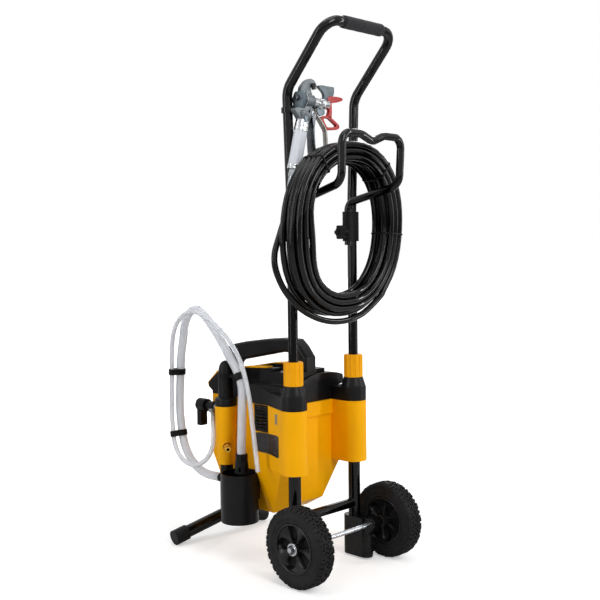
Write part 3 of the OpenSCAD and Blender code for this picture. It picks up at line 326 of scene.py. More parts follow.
# CAD nodes that show as they are; a piece of its own replaces each of the rest
FINISH = (
    (paint_black, "uprights cross_tube front_stand handle_tube gun_holder"),
    (boot_plastic, "axle_boots"),
    (cap_rubber, "foot_caps cord_gland"),
    (dark_plastic, "hook_clamps star_knob_left star_knob_right vent_grille control_panel pressure_knob inlet_nut"
                   " prime_valve strainer"),
    (collar_plastic, "collar_left collar_right"),
    (grip_plastic, "gun_grip"),
    (yellow_plastic, "top_cover pump_shroud"),
    (cap_plastic, "drip_cup"),
    (red_plastic, "power_switch"),
    (zinc, "axle"),
    (steel, "gun_swivel trigger_pin gun_needle hose_fittings drive_gear piston"),
    (dark_chrome, "gun_trigger"),
    (nut_grey, "trigger_lock"),
    (screw_black, "body_screws"),
    (cast_metal, "pump_block motor"),
    (brass, "outlet_fitting"),
    (copper, "rotor"),
)
# Rounding of a CAD node's edges, in millimetres; the rest get EDGE
EDGE = 0.35
ROUNDING = {
    "drip_cup": 0.8, "pump_shroud": 0.5, "axle_boots": 2.5, "foot_caps": 1.5, "prime_valve": 1.2, "hook_clamps": 1.2,
    "star_knob_left": 1.0, "star_knob_right": 1.0, "gun_grip": 1.4, "collar_left": 0.5, "collar_right": 0.5,
    "pressure_knob": 0.8, "control_panel": 1.2, "gun_trigger": 0.7,
}


def weighted(o):
    """Shading that keeps broad faces flat beside their rounded edges."""
    normals = o.modifiers.new("normals", "WEIGHTED_NORMAL")
    normals.keep_sharp = True


def dress(node, material, rounding):
    """Gives a CAD node its material and rounds its edges with modifiers."""
    o = nodes[node]
    for s in o.material_slots:
        s.material = material
    if not o.material_slots:
        o.data.materials.append(material)
    weld = o.modifiers.new("weld", "WELD")
    weld.merge_threshold = 2e-6
    bevel = o.modifiers.new("edges", "BEVEL")
    bevel.width = rounding / 1000
    bevel.segments = 2
    bevel.limit_method = "ANGLE"
    bevel.angle_limit = math.radians(32)
    weighted(o)


# ---- mesh helpers ----
def add(name, vertices, faces, material, body, slot, smooth_angle=35):
    mesh = bpy.data.meshes.new(name)
    mesh.from_pydata([tuple(v) for v in vertices], [], faces)
    mesh.validate()
    return place(name, mesh, material, body, slot, smooth_angle)


def place(name, mesh, material, body, slot, smooth_angle):
    bm = bmesh.new()
    bm.from_mesh(mesh)
    bmesh.ops.recalc_face_normals(bm, faces=bm.faces)
    for f in bm.faces:
        f.smooth = True
    for e in bm.edges:
        e.smooth = len(e.link_faces) == 2 and e.calc_face_angle(0) < math.radians(smooth_angle)
    bm.to_mesh(mesh)
    bm.free()
    mesh.materials.clear()
    mesh.materials.append(material)
    o = put(name, mesh)
    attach(o, body)
    return o


def stitched(rings, loop=False):
    """Vertices and faces of a skin over rings of equal counts, capped at its ends or joined into a loop."""
    n = len(rings[0])
    vertices = [p for r in rings for p in r]
    faces = []
    for i in range(len(rings) if loop else len(rings) - 1):
        j = (i + 1) % len(rings)
        for k in range(n):
            m = (k + 1) % n
            faces.append((i * n + k, i * n + m, j * n + m, j * n + k))
    if not loop:
        faces.append(tuple(reversed(range(n))))
        faces.append(tuple(range((len(rings) - 1) * n, len(rings) * n)))
    return vertices, faces


def frames(points, closed=False):
    """Two normals at each point of a line, carried along without twist."""
    out = []
    n = len(points)
    normal = None
    for i in range(n):
        a = points[(i - 1) % n if closed else max(i - 1, 0)]
        b = points[(i + 1) % n if closed else min(i + 1, n - 1)]
        t = (b - a).normalized()
        if normal is None:
            normal = t.orthogonal().normalized()
        normal = (normal - t * normal.dot(t)).normalized()
        out.append((normal, t.cross(normal)))
    return out


def circle(count, shift=0):
    """Angles of equal steps round a circle."""
    return [2 * math.pi * (k + shift) / count for k in range(count)]


def ring(p, u, v, r, sides):
    return [p + (u * math.cos(a) + v * math.sin(a)) * r for a in circle(sides)]


def lathe(points, origin, axis, sides):
    """Rings of a turned shape: points are (distance along the axis, radius), in millimetres."""
    t = Vector(axis).normalized()
    u = t.orthogonal().normalized()
    v = t.cross(u)
    return [ring(origin + t * a / 1000, u, v, max(r, 0.01) / 1000, sides) for a, r in points]


def turned(points, origin, axis, sides=48, loop=False):
    """Skin of a turned shape, closed by flat ends or joined into a loop."""
    return stitched(lathe(points, origin, axis, sides), loop=loop)


def joined(parts):
    """One list of vertices and faces from several."""
    vertices, faces = [], []
    for vs, fs in parts:
        base = len(vertices)
        vertices += list(vs)
        faces += [tuple(base + i for i in f) for f in fs]
    return vertices, faces


def catmull(route, steps):
    """Smooth curve through a route, as in part.scad."""
    out = []
    n = len(route)
    for i in range(n - 1):
        a, b, c, d = route[max(i - 1, 0)], route[i], route[i + 1], route[min(i + 2, n - 1)]
        for k in range(steps):
            t = k / steps
            out.append(0.5 * (2 * b + (c - a) * t + (2 * a - 5 * b + 4 * c - d) * t ** 2
                              + (3 * b - a - 3 * c + d) * t ** 3))
    out.append(route[-1])
    return out


def rounded(path, bends, steps):
    """Path with its corners rounded, all in millimetres."""
    out = [path[0]]
    for i in range(1, len(path) - 1):
        u = (path[i] - path[i - 1]).normalized()
        w = (path[i + 1] - path[i]).normalized()
        n = u.cross(w).normalized()
        away = u.cross(n)
        turn = math.acos(max(-1, min(1, u.dot(w))))
        r = bends[i - 1]
        centre = path[i] - u * r * math.tan(turn / 2) - away * r
        out += [centre + (away * math.cos(turn * k / steps) + u * math.sin(turn * k / steps)) * r
                for k in range(steps + 1)]
    out.append(path[-1])
    return out


# ---- hose: the coil on the hook, and its lead up to the gun ----
COIL = Vector((-5, -4, 700))
TILT, POWER, PITCH, HOSE_D, LOOPS, LAYERS = 0.08, 2.2, 13.1, 12.5, 3, 4


def spiral_at(u):
    k = min(LAYERS - 1, math.floor(u / LOOPS))
    s = u - k * LOOPS
    return LOOPS - s if k % 2 == 0 else s


def climb_at(u):
    k = math.floor(u / LOOPS + 0.5)
    if k < 1 or k >= LAYERS:
        return min(LAYERS - 1, math.floor(u / LOOPS))
    t = max(0, min(1, (u - k * LOOPS) * 2 + 0.5))
    return k - 1 + t * t * (3 - 2 * t)


def coil_radius(angle, s):
    a, b = 117.25 + PITCH * s, 133.25 + PITCH * s
    c, d = abs(math.cos(math.radians(angle))) / a, abs(math.sin(math.radians(angle))) / b
    return (c ** POWER + d ** POWER) ** (-1 / POWER)


def bow_at(angle, s):
    d = (angle + 12 + 540) % 360 - 180
    return 0 if abs(d) > 45 else 15 * (1 - s / LOOPS) * math.cos(math.radians(2 * d)) ** 2


def coil_point(u):
    angle = 225 - 360 * (u - math.floor(u))
    s = spiral_at(u)
    r = coil_radius(angle, s) - bow_at(angle, s)
    z = r * math.sin(math.radians(angle))
    y = TILT * z + PITCH * ((LAYERS - 1) / 2 - climb_at(u))
    return COIL + Vector((r * math.cos(math.radians(angle)), y, z))


def around(angle, s, y):
    r = coil_radius(angle, s)
    return Vector((COIL.x + r * math.cos(math.radians(angle)), y, COIL.z + r * math.sin(math.radians(angle))))


GRIP_TOP, GRIP_BOTTOM = Vector((80, GUN_Y, 905)), Vector((103, GUN_Y, 816))
GRIP_DIR = (GRIP_BOTTOM - GRIP_TOP).normalized()
STEPS = 48    # points of the visible hose in each loop; part.scad has 24


def hose_points():
    """The hose's line from the gun to its far end; both ends leave the coil as in part.scad."""
    turns = [coil_point(i / STEPS) for i in range(STEPS * LOOPS * LAYERS + 1)]
    coarse = [coil_point(i / 24) for i in range(24 * LOOPS * LAYERS + 1)]

    def beyond(a, b, c):
        return ((a - b) * 3 - (b - c)).normalized()

    mouth_dir = beyond(*coarse[:3])
    tail_dir = beyond(*reversed(coarse[-3:]))
    mouth, tail = coarse[0] + mouth_dir * HOSE_D, coarse[-1] + tail_dir * HOSE_D
    start = GRIP_BOTTOM + GRIP_DIR * 52.6
    lead = [
        start, start + GRIP_DIR * HOSE_D, Vector((127.5, -36.6, 722)), Vector((138.5, -40.5, 688)),
        Vector((149.5, -43.5, 652)), around(-28, 3.7, -42), around(-41, 4.05, -34), around(-54, 4.2, -24),
        around(-66, 4.2, -15), around(-78, 4.15, -8), around(-90, 4, -3), around(-101, 3.7, 0.5),
        around(-111, 3.4, 2.5), mouth + mouth_dir * HOSE_D, mouth,
    ]
    return catmull(lead, 4) + turns + [tail]


def hose_curve(points):
    """The hose as a curve of one open spline with a round section."""
    data = bpy.data.curves.new("hose", "CURVE")
    data.dimensions = "3D"
    data.bevel_depth = HOSE_D / 2000
    data.bevel_resolution = 6
    data.use_fill_caps = True
    spline = data.splines.new("POLY")
    spline.points.add(len(points) - 1)
    for sp, p in zip(spline.points, points):
        sp.co = (*p, 1)
    spline.use_smooth = True
    data.materials.append(jacket)
    o = put("hose", data)
    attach(o, "handle")
    return o


hose_line = metres(hose_points())
hose = hose_curve(hose_line)
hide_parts("hose_coil", "hose_lead")


def tie_mesh(angle):
    """Strap drawn tight round all the turns where they pass an angle of the coil."""
    c, d = math.cos(math.radians(angle)), math.sin(math.radians(angle))
    out = Vector((c, TILT * d, d)).normalized()
    deep = Vector((0, 1, 0))
    deep = (deep - out * deep.dot(out)).normalized()
    along = out.cross(deep)
    circles = []
    for turn in range(LOOPS * LAYERS):
        q = coil_point(turn + ((225 - angle) % 360) / 360) - COIL
        circles.append((q.dot(out), q.dot(deep)))
    rim = []
    for a in circle(96):
        x, y = math.cos(a), math.sin(a)
        best = max(circles, key=lambda m: m[0] * x + m[1] * y)
        rim.append((best[0] + (HOSE_D / 2 + 0.15) * x, best[1] + (HOSE_D / 2 + 0.15) * y, x, y))
    section = ((0, -1.6), (1.0, -1.6), (1.25, -0.9), (1.25, 0.9), (1.0, 1.6), (0, 1.6))
    strap = stitched([[P(*(COIL + out * (px + lift * x) + deep * (py + lift * y) + along * shift))
                       for lift, shift in section] for px, py, x, y in rim], loop=True)
    top = max(rim, key=lambda m: m[1] - 0.5 * m[0])
    head = COIL + out * (top[0] + 1.4 * top[2]) + deep * (top[1] + 1.4 * top[3])
    normal = (out * top[2] + deep * top[3]).normalized()
    across = along.cross(normal).normalized()
    corners = ((-1, -0.8), (-0.8, -1), (0.8, -1), (1, -0.8), (1, 0.8), (0.8, 1), (-0.8, 1), (-1, 0.8))
    block = [[P(*(head + normal * h + across * w * a * 1.1 + along * w * b)) for a, b in corners]
             for h, w in ((-1.2, 1.6), (0.4, 1.8), (1.2, 1.7), (1.6, 1.2))]
    return joined([strap, stitched(block)])


ties = add("hose_tie_straps", *joined([tie_mesh(a) for a in (55, 128, 184)]), dark_plastic, "handle",
           "dark_plastic", 40)
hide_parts("hose_ties")


# ---- hose hook, a smooth bent tube ----
HOOK_SIDE = vectors(((71.5, -50, 668), (71.5, -50, 756), (86, 76, 787), (88, 80, 881), (34, 80, 881)))
hook_line = rounded(HOOK_SIDE + [Vector((0, 80, 868))] + [Vector((-p.x, p.y, p.z)) for p in reversed(HOOK_SIDE)],
                    [20, 28, 22, 40, 30, 40, 22, 28, 20], 14)


def tube_mesh(points, radius, sides, bore):
    """Wall of a tube along points in metres, open at both ends."""
    outer, inner = ([ring(p, u, v, r, sides) for p, (u, v) in zip(points, frames(points))] for r in (radius, bore))
    return stitched(outer + inner[::-1], loop=True)


hook = add("hook", *tube_mesh(metres(hook_line), 0.008, 32, 0.0065), paint_black, "handle", "black_paint")
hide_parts("hose_hook")


# ---- suction and return tubes ----
SUCTION = [
    (104, -201, 231), (104, -201, 250), (102, -201, 284), (94, -208, 332), (84, -219, 368), (80, -237, 399),
    (80, -260, 427), (80, -286, 458), (80, -316, 489), (80, -344, 515), (80, -371, 528), (80, -396, 520),
    (80, -414, 496), (80, -422, 461), (80, -430, 424), (80, -434, 384), (80, -439, 318), (80, -436, 266),
    (80, -425, 219), (80, -401, 185), (80, -367, 165), (80, -338, 160), (80, -320, 160), (80, -300.5, 160),
]
RETURN = [
    (92, -307, 299), (92, -307, 286), (96, -301, 262), (101, -301, 228), (106, -318, 200), (108, -356, 183),
    (106, -399, 190), (103, -429, 217), (102, -440, 273), (102, -440, 331), (102, -438, 389), (102, -435, 446),
    (104, -421, 486), (107, -391, 514), (110, -355, 526), (110, -320, 522), (110, -283, 506), (110, -244, 482),
    (111, -215, 457), (112, -191, 427), (113, -176, 395), (114, -162, 350), (115, -153, 299), (116, -144, 249),
    (117, -136, 204),
]
SUCTION_R, RETURN_R = 9.35, 5.0
suction_route, return_route = catmull(vectors(SUCTION), 6), catmull(vectors(RETURN), 6)
suction = add("suction_hose", *tube_mesh(metres(suction_route), SUCTION_R / 1000, 32, 0.0070), suction_vinyl,
              "cart", "clear_tube")
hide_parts("suction_tube")
back_tube = add("return_hose", *tube_mesh(metres(return_route), RETURN_R / 1000, 24, 0.0036), return_vinyl, "cart",
                "clear_tube")
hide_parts("return_tube")


# ---- tyres with their knobbly tread ----
def wheel_point(x, r, angle, side):
    a = math.radians(angle)
    return P(side * x, r * math.cos(a), AXLE_Z + r * math.sin(a))


def wedge(profile, a0, a1, side, skew):
    """Tread block: an outline of (x, r), swept over an angle, leaning by skew and narrower at its top."""
    top = max(r for x, r in profile)
    low = min(r for x, r in profile)
    mid = (a0 + a1) / 2
    rings = []
    for i in range(3):
        a = a0 + (a1 - a0) * i / 2
        rings.append([wheel_point(x, r, mid + (a - mid) * (1 - 0.2 * (r - low) / (top - low))
                                  + skew * (x - profile[0][0]), side) for x, r in profile])
    return stitched(rings)


def tyre_mesh(side):
    """Tyre with two rows of blocks and a shoulder block on each hand, all a little uneven."""
    outline = [
        (-17, 50.1), (-18.6, 51.5), (-19.3, 54), (-18.4, 55.4), (-18.4, 58.4), (-19.5, 60), (-19.6, 65),
        (-18.9, 66.6), (-18.9, 70), (-18.1, 73.6), (-15.2, 76), (-8, 76.8), (0, 77), (8, 76.8), (15.2, 76),
        (18.1, 73.6), (18.9, 70), (18.9, 66.6), (19.6, 65), (19.5, 60), (18.4, 58.4), (18.4, 55.4), (19.3, 54),
        (18.6, 51.5), (17, 50.1),
    ]
    turns, pitches = 140, 56
    parts = [stitched([[wheel_point(WHEEL_MID + x, r, 360 * i / turns, side) for x, r in outline]
                       for i in range(turns)], loop=True)]
    step = 360 / pitches

    def block(profile, hand, start, cut, skew):
        parts.append(wedge([(WHEEL_MID + hand * x, r) for x, r in profile], start + cut * step,
                           start + (1 - cut) * step, side, hand * skew))

    for i in range(pitches):
        for hand in (-1, 1):
            b = (i + (0.5 if hand > 0 else 0)) * step
            reach = (71.5, 74.5, 73)[i % 3]
            high = (79.9, 79.2, 79.7, 79.4)[i % 4]
            block([(11.8, 75.6), (11.8, high - 0.4), (12.4, high), (15.4, high - 0.7), (17.9, high - 2.9),
                   (19.4, high - 5.2), (19.75, reach), (18.0, reach - 0.9)],
                  hand, b, 0.18, (0.22, -0.16, 0.06)[i % 3])
            for x0, x1, shift, lean in ((0.7, 5.2, 0.0, 0.8), (6.0, 10.9, 0.45, -0.55)):
                tall = 79.3 + (0.7, 0.1, 0.5, 0.3)[(i + int(x0)) % 4]
                block([(x0, 76.4), (x0, tall - 0.5), (x0 + 0.5, tall), (x1 - 0.5, tall), (x1, tall - 0.5),
                       (x1, 76.2)],
                      hand, b + shift * step + (0.16, 0, -0.14)[i % 3] * step, 0.17, lean * (1.2 if i % 2 else 0.5))
    return joined(parts)


def hub_mesh(side):
    """Moulded hub: five fan-shaped spokes over a closed web, between a boss and a lipped rim."""
    turns = 200
    radii = [14.5, 16, 18, 20, 23, 26, 29, 32, 35, 38, 40, 42, 43.5, 44.6]

    def web(r, angle):
        """Half the web's depth: the crown of a spoke, or the dish beside it."""
        d = abs((angle + 5 + 36) % 72 - 36)
        half = 11 + 0.42 * (r - 14.5) + 9 * max(0, (r - 36) / 8.6) ** 2
        edge = max(0, min(1, (half + 3.5 - d) / 7))
        spoke = edge * edge * (3 - 2 * edge)
        t = (r - 14.5) / 30.1
        crown = 12.0 + 3.6 * t - 1.6 * math.sin(math.pi * t)
        dish = 1.2 + 11 * max(0, (r - 41.0) / 3.6) ** 2 + 8 * max(0, (18 - r) / 3.5) ** 2
        crown -= 2.6 * min(1, d / half) ** 2
        return max(dish, dish + (crown - dish) * spoke)

    boss = [(-28.6, 5.15), (-28.6, 11.9), (-27.8, 12.9), (-12.5, 13.3)]
    rim = [(-16.5, 45.4), (-18.6, 46), (-19.3, 47), (-19.3, 48.8), (-18.4, 49.9), (-15, 49.98), (15, 49.98),
           (18.4, 49.9), (19.3, 48.8), (19.3, 47), (18.6, 46), (16.5, 45.4)]
    end = [(12.5, 13.3), (17.3, 12.9), (17.95, 12), (17.95, 5.15)]
    rings = []
    for i in range(turns):
        angle = 360 * i / turns
        inner = [(-web(r, angle + 36), r) for r in radii]
        outer = [(web(r, angle), r) for r in reversed(radii)]
        profile = boss + inner + rim + outer + end
        rings.append([wheel_point(WHEEL_MID + x, r, angle, side) for x, r in profile])
    return stitched(rings, loop=True)


def hexagon(origin, corner, length, chamfer, side=1, turn=0.0, face=0.955):
    """Nut along X with chamfered corners at both ends; lengths in millimetres."""
    t = Vector((side, 0, 0))
    u = t.orthogonal().normalized()
    v = t.cross(u)
    flat = corner * math.cos(math.pi / 6)
    rings = []
    for along, limit in ((0, flat * 0.985), (chamfer * flat, corner), (length - chamfer * flat, corner),
                         (length, flat * face)):
        row = []
        for a in circle(72):
            b = (a + turn) % (math.pi / 3) - math.pi / 6
            r = min(flat / math.cos(b), limit)
            row.append(origin + (t * along + (u * math.cos(a) + v * math.sin(a)) * r) / 1000)
        rings.append(row)
    return rings


def end_nut(side):
    """Dished washer and chamfered nut, as two separate skins."""
    origin = P(side * 154.8, 0, AXLE_Z)
    axis = (side, 0, 0)
    washer = turned([(0.05, 5.2), (0.05, 12.2), (0.5, 12.5), (1.0, 12.2), (1.25, 10.8), (1.1, 9.4), (1.5, 9.2),
                     (1.5, 5.2)], origin, axis, loop=True)
    nut = hexagon(origin + Vector(axis) * 0.0015, 8.9, 5.4, 0.14, side)
    return washer, stitched(nut + lathe([(6.9, 5.3), (1.5, 5.3)], origin, axis, 72), loop=True)


for name, side in SIDES:
    h = add("hub_skin_" + name, *hub_mesh(side), hub_painted_shade_plastic, "wheel_" + name, "dark_plastic", 40)
    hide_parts("hub_" + name)
ends = [end_nut(side) for name, side in SIDES]
nuts = add("axle_end_nuts", *joined([nut for washer, nut in ends]), dark_chrome, "cart", "steel", 30)
add("axle_washers", *joined([washer for washer, nut in ends]), chrome, "cart", "steel", 30)
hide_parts("axle_nuts")

for name, side in SIDES:
    t = add("tyre_" + name + "_tread", *tyre_mesh(side), tyre_rubber, "wheel_" + name, "tyre", 30)
    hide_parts("tyre_" + name)


# ---- foam grip ----
def grip_mesh():
    """Foam sleeve with crushed, rounded ends and a slight waist from the hand."""
    rings = []
    half, count, sides, y, z, inner = 57, 60, 40, 55, 1094, 10.15
    angles = circle(sides)
    for i in range(count + 1):
        x = -half + 2 * half * i / count
        edge = min(1, (half - abs(x)) / 3.2)
        r = 12.5 - 2.1 * (1 - math.sqrt(max(0, 1 - (1 - edge) ** 2)))
        wave = 0.12 * math.sin(x * 0.21) + 0.08 * math.sin(x * 0.53 + 1)
        rings.append([P(x, y + (r - 0.2 + wave * math.sin(3 * a)) * math.cos(a),
                        z + (r - 0.2 + wave) * math.sin(a)) for a in angles])
    bore = [[P(x, y + inner * math.cos(a), z + inner * math.sin(a)) for a in angles] for x in (half, -half)]
    return stitched(rings + bore, loop=True)


grip = add("grip_foam", *grip_mesh(), foam, "handle", "foam", 60)
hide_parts("handle_grip")


# ---- housing shells with moulded radii ----
def softened(node, wide, wide_test, fine, material, slot, segments):
    """A copy of a CAD node with a wide round on the edges that wide_test picks and a fine one on the rest."""
    bm = bmesh.new()
    bm.from_mesh(nodes[node].data)
    bmesh.ops.remove_doubles(bm, verts=bm.verts, dist=2e-6)
    bmesh.ops.dissolve_limit(bm, angle_limit=math.radians(0.6), verts=bm.verts, edges=bm.edges)
    sharp = math.radians(28)

    def edges(test):
        return [e for e in bm.edges if len(e.link_faces) == 2 and e.calc_face_angle(0) > sharp and test(e)]

    for test, offset, count in ((wide_test, wide, segments), (lambda e: True, fine, 2)):
        picked = edges(test) if offset else []
        if picked:
            bmesh.ops.bevel(bm, geom=picked, offset=offset / 1000, offset_type="OFFSET", segments=count, profile=0.5,
                            affect="EDGES", clamp_overlap=True)
    mesh = bpy.data.meshes.new(node + "_skin")
    bm.to_mesh(mesh)
    bm.free()
    o = place(node + "_skin", mesh, material, "cart", slot, 50)
    weighted(o)
    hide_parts(node)


def middle(e):
    """X and Z of an edge's middle, in millimetres."""
    c = (e.verts[0].co + e.verts[1].co) * 500
    return c.x, c.z


def grab_edge(e):
    x, z = middle(e)
    return abs(abs(x) - 17) < 0.2 and z > 372


def outer_edge(e):
    return e.is_convex and e.calc_length() > 0.012


def shell_edge(e):
    return e.is_convex and e.calc_length() > 0.02 and middle(e)[1] < 330


softened("carry_handle", 7.5, grab_edge, 0.6, cap_plastic, "dark_plastic", 5)
softened("upper_cap", 2.4, outer_edge, 0, cap_plastic, "dark_plastic", 4)
softened("lower_shell", 1.6, shell_edge, 0, yellow_plastic, "yellow_plastic", 3)

# ---- pump cap with its rounded peak, and the gland of the prime valve ----
cap_profile = [(322.35, 15.8), (322.35, 23.1), (322.8, 23.5), (337.5, 23.5), (339.2, 22.9), (340, 21.2),
               (340.3, 17.2), (341, 16.4), (360, 16.2), (378, 15.8), (378.4, 15.4), (396, 15.3), (404, 14.6),
               (410, 13.0), (415, 10.4), (418.6, 7.0), (420.4, 3.4), (421, 0.4), (418, 0.3), (338.4, 0.3),
               (338.4, 15.8)]
cap_skin = add("pump_cap_skin", *turned(cap_profile, P(PUMP_X, PUMP_Y, 0), Z_AXIS, 64, True), cap_plastic,
               "cart", "dark_plastic", 40)
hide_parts("pump_cap")
gland = [(0, 9.15), (0, 11.6), (0.8, 12.2), (6, 12.2), (6.8, 11.6), (6.8, 10.2), (25.6, 10.0), (26.4, 9.6),
         (26.4, 9.15)]
add("valve_gland", *turned(gland, P(PUMP_X, -308.8, 316), (0, -1, 0), loop=True), dark_plastic, "cart",
    "dark_plastic", 40)


# ---- bare label plate on the near side, and a small plate on the panel above it ----
GAP = 0.06    # between a film and the housing


def film_mesh(plan, spans, thick):
    """Thin film over a plan of (x, y) points on the housing; spans are its bottom and top at each point."""
    rings = []
    for i, ((x, y), (z0, z1)) in enumerate(zip(plan, spans)):
        a, b = plan[max(i - 1, 0)], plan[min(i + 1, len(plan) - 1)]
        d = Vector((b[0] - a[0], b[1] - a[1])).normalized()
        rings.append([P(x + d.y * off, y - d.x * off, z)
                      for off, z in ((GAP, z0), (GAP + thick, z0), (GAP + thick, z1), (GAP, z1))])
    return stitched(rings)


PANEL = Vector((115.1 - SIDE_X, -66.0 + 134)) / 73.2


def on_panel(t):
    """Plan point on the slanting panel, t millimetres from its front edge."""
    return SIDE_X + PANEL.x * t, -134 + PANEL.y * t


label_plan = [(SIDE_X, y) for y in (-175.6, -160, -145, -137)] + [on_panel(t) for t in (3, 14, 26, 38, 48, 56)]
label_spans = ([(240.2, 277.3)] + [(238, top) for top in (279.5, 279.5, 280, 280, 281, 282, 283, 283.5)]
               + [(240.2, 281.3)])
add("side_label", *film_mesh(label_plan, label_spans, 0.36), label_film, "cart", "dark_plastic", 20)
add("panel_plate", *film_mesh([on_panel(t) for t in (38, 42, 46, 50)], [(306, 327)] * 4, 0.4), plate_film, "cart",
    "dark_plastic", 20)


def bezel_mesh(side):
    """Louvred surround that carries the vent grille up to the seam and out to the housing's corner."""
    parts = []
    for y0, y1, z0, z1 in ((-175.8, -171.3, 281, 337.6), (-135.7, -134.6, 281, 337.6),
                           (-171.3, -135.7, 281, 282.7), (-171.3, -135.7, 333.3, 337.6)):
        parts.append(stitched([
            [P(side * x, y, z) for y, z in ((y0 + c, z0 + c), (y1 - c, z0 + c), (y1 - c, z1 - c), (y0 + c, z1 - c))]
            for x, c in ((88.05, 0), (88.45, 0), (88.95, 0.5))]))
    for i in range(7):
        z = 286.6 + 7.0 * i
        section = ((88.15, z - 1.9), (89.0, z - 1.9), (88.9, z - 0.2), (88.15, z + 1.2))
        parts.append(stitched([[P(side * x, y, h) for x, h in section] for y in (-171.2, -135.8)]))
    return joined(parts)


for name, side in SIDES:
    add("vent_bezel_" + name, *bezel_mesh(side), dark_plastic, "cart", "dark_plastic", 30)


# ---- screw and ribs on the back of each axle boot ----
def boot_details(side):
    parts = []
    for z in (14, 22, 30, 38, 46, 54):
        rings = []
        for k in range(13):
            a = math.radians(-68 + 136 * k / 12)
            u, v = math.sin(a), math.cos(a)
            rings.append([P(side * (UPRIGHT_X + r * u), -24 + r * v, z + h) for r, h in
                          ((14.9, -0.9), (15.6, -0.5), (15.6, 0.5), (14.9, 0.9))])
        parts.append(stitched(rings))
    for k in (-2, -1, 0, 1, 2):
        a = math.radians(27 * k)
        u, v = math.sin(a), math.cos(a)
        section = ((14.9, -0.9), (15.5, -0.5), (15.5, 0.5), (14.9, 0.9))
        parts.append(stitched([[P(side * (UPRIGHT_X + r * u + w * v), -24 + r * v - w * u, z) for r, w in section]
                               for z in (9, 57)]))
    parts.append(turned([(0, 3.2), (0.7, 3.1), (1.1, 2.5), (1.1, 1.3), (0.5, 1.1), (0.5, 0.05)],
                        P(side * 105.2, -62, 16), (side, 0, 0), 24))
    return joined(parts)


for name, side in SIDES:
    add("boot_ribs_" + name, *boot_details(side), boot_plastic, "cart", "dark_plastic", 30)


# ---- weld beads where the cross tube meets the uprights ----
def weld_mesh(side):
    line = []
    for a in circle(64):
        y, z = 10.1 * math.cos(a), 10.1 * math.sin(a)
        x = UPRIGHT_X - math.sqrt(12.75 ** 2 - y ** 2) - 0.3
        line.append(P(side * x, -56 + y, 115 + z))
    return stitched([ring(p, u, v, (1.35 + 0.25 * math.sin(k * 1.9)) / 1000, 10)
                     for k, (p, (u, v)) in enumerate(zip(line, frames(line, closed=True)))], loop=True)


for name, side in SIDES:
    add("weld_" + name, *weld_mesh(side), paint_black, "cart", "black_paint", 60)


# ---- gun: bands round its grip, and plates across it ----
GRIP_SIDE = Vector((3.2, 0, 0.8))    # half the flat of the grip's section


def gun_point(x, z):
    return P(x, GUN_Y, z)


def grip_band(profile):
    """Band round the grip: profile is (distance down the grip, radius), in millimetres."""
    u = GRIP_SIDE.normalized()
    v = GRIP_DIR.cross(u).normalized()
    rings = []
    for along, r in profile:
        row = []
        for a in circle(40, 0.5):
            shift = GRIP_SIDE if math.cos(a) > 0 else -GRIP_SIDE
            row.append(P(*(GRIP_TOP + GRIP_DIR * along + shift + (u * math.cos(a) + v * math.sin(a)) * r)))
        rings.append(row)
    return stitched(rings)


def smooth_loop(points):
    """A closed outline of (x, z) points with its corners eased."""
    out = []
    n = len(points)
    for i in range(n):
        a, b, c = (Vector(points[(i + k) % n]) for k in (-1, 0, 1))
        p, q = b + (a - b) * 0.3, b + (c - b) * 0.3
        for t in (0, 1 / 3, 2 / 3, 1):
            out.append(p * (1 - t) ** 2 + b * 2 * t * (1 - t) + q * t * t)
    return out


def slab(outline, thick, edge, y=GUN_Y, hole=None):
    """Plate across Y: outline of (x, z) in millimetres with eased corners and rounded edges."""
    bm = bmesh.new()
    for loop in [smooth_loop(o) for o in (outline, hole) if o]:
        front = [bm.verts.new(P(x, y + thick / 2, z)) for x, z in loop]
        back = [bm.verts.new(P(x, y - thick / 2, z)) for x, z in loop]
        for i in range(len(loop)):
            j = (i + 1) % len(loop)
            bm.faces.new((front[i], front[j], back[j], back[i]))
    for sign in (1, -1):
        level = (y + sign * thick / 2 + AXLE_Y) / 1000
        rim = [e for e in bm.edges if all(abs(v.co.y - level) < 1e-7 for v in e.verts)]
        bmesh.ops.triangle_fill(bm, edges=rim, use_beauty=True)
    bmesh.ops.recalc_face_normals(bm, faces=bm.faces)
    rim = [e for e in bm.edges if len(e.link_faces) == 2 and e.calc_face_angle(0) > math.radians(60)]
    bmesh.ops.bevel(bm, geom=rim, offset=edge / 1000, offset_type="OFFSET", segments=3, profile=0.5, affect="EDGES",
                    clamp_overlap=True)
    bm.verts.index_update()
    made = [v.co.copy() for v in bm.verts], [tuple(v.index for v in f.verts) for f in bm.faces]
    bm.free()
    return made


# ---- the cap's ridge that runs out to the right sleeve ----
RIDGE = [(-104, 366), (-104, 383), (-102.5, 387.6), (-98, 389.8), (-84, 393.5), (-59, 396.3), (-35, 396),
         (-12, 394.7), (4, 390.5), (15, 386.4), (30, 382.5), (44, 379.5), (44, 366)]
add("cap_ridge", *slab(RIDGE, 41, 1.8, -118.8), cap_plastic, "cart", "dark_plastic", 40)


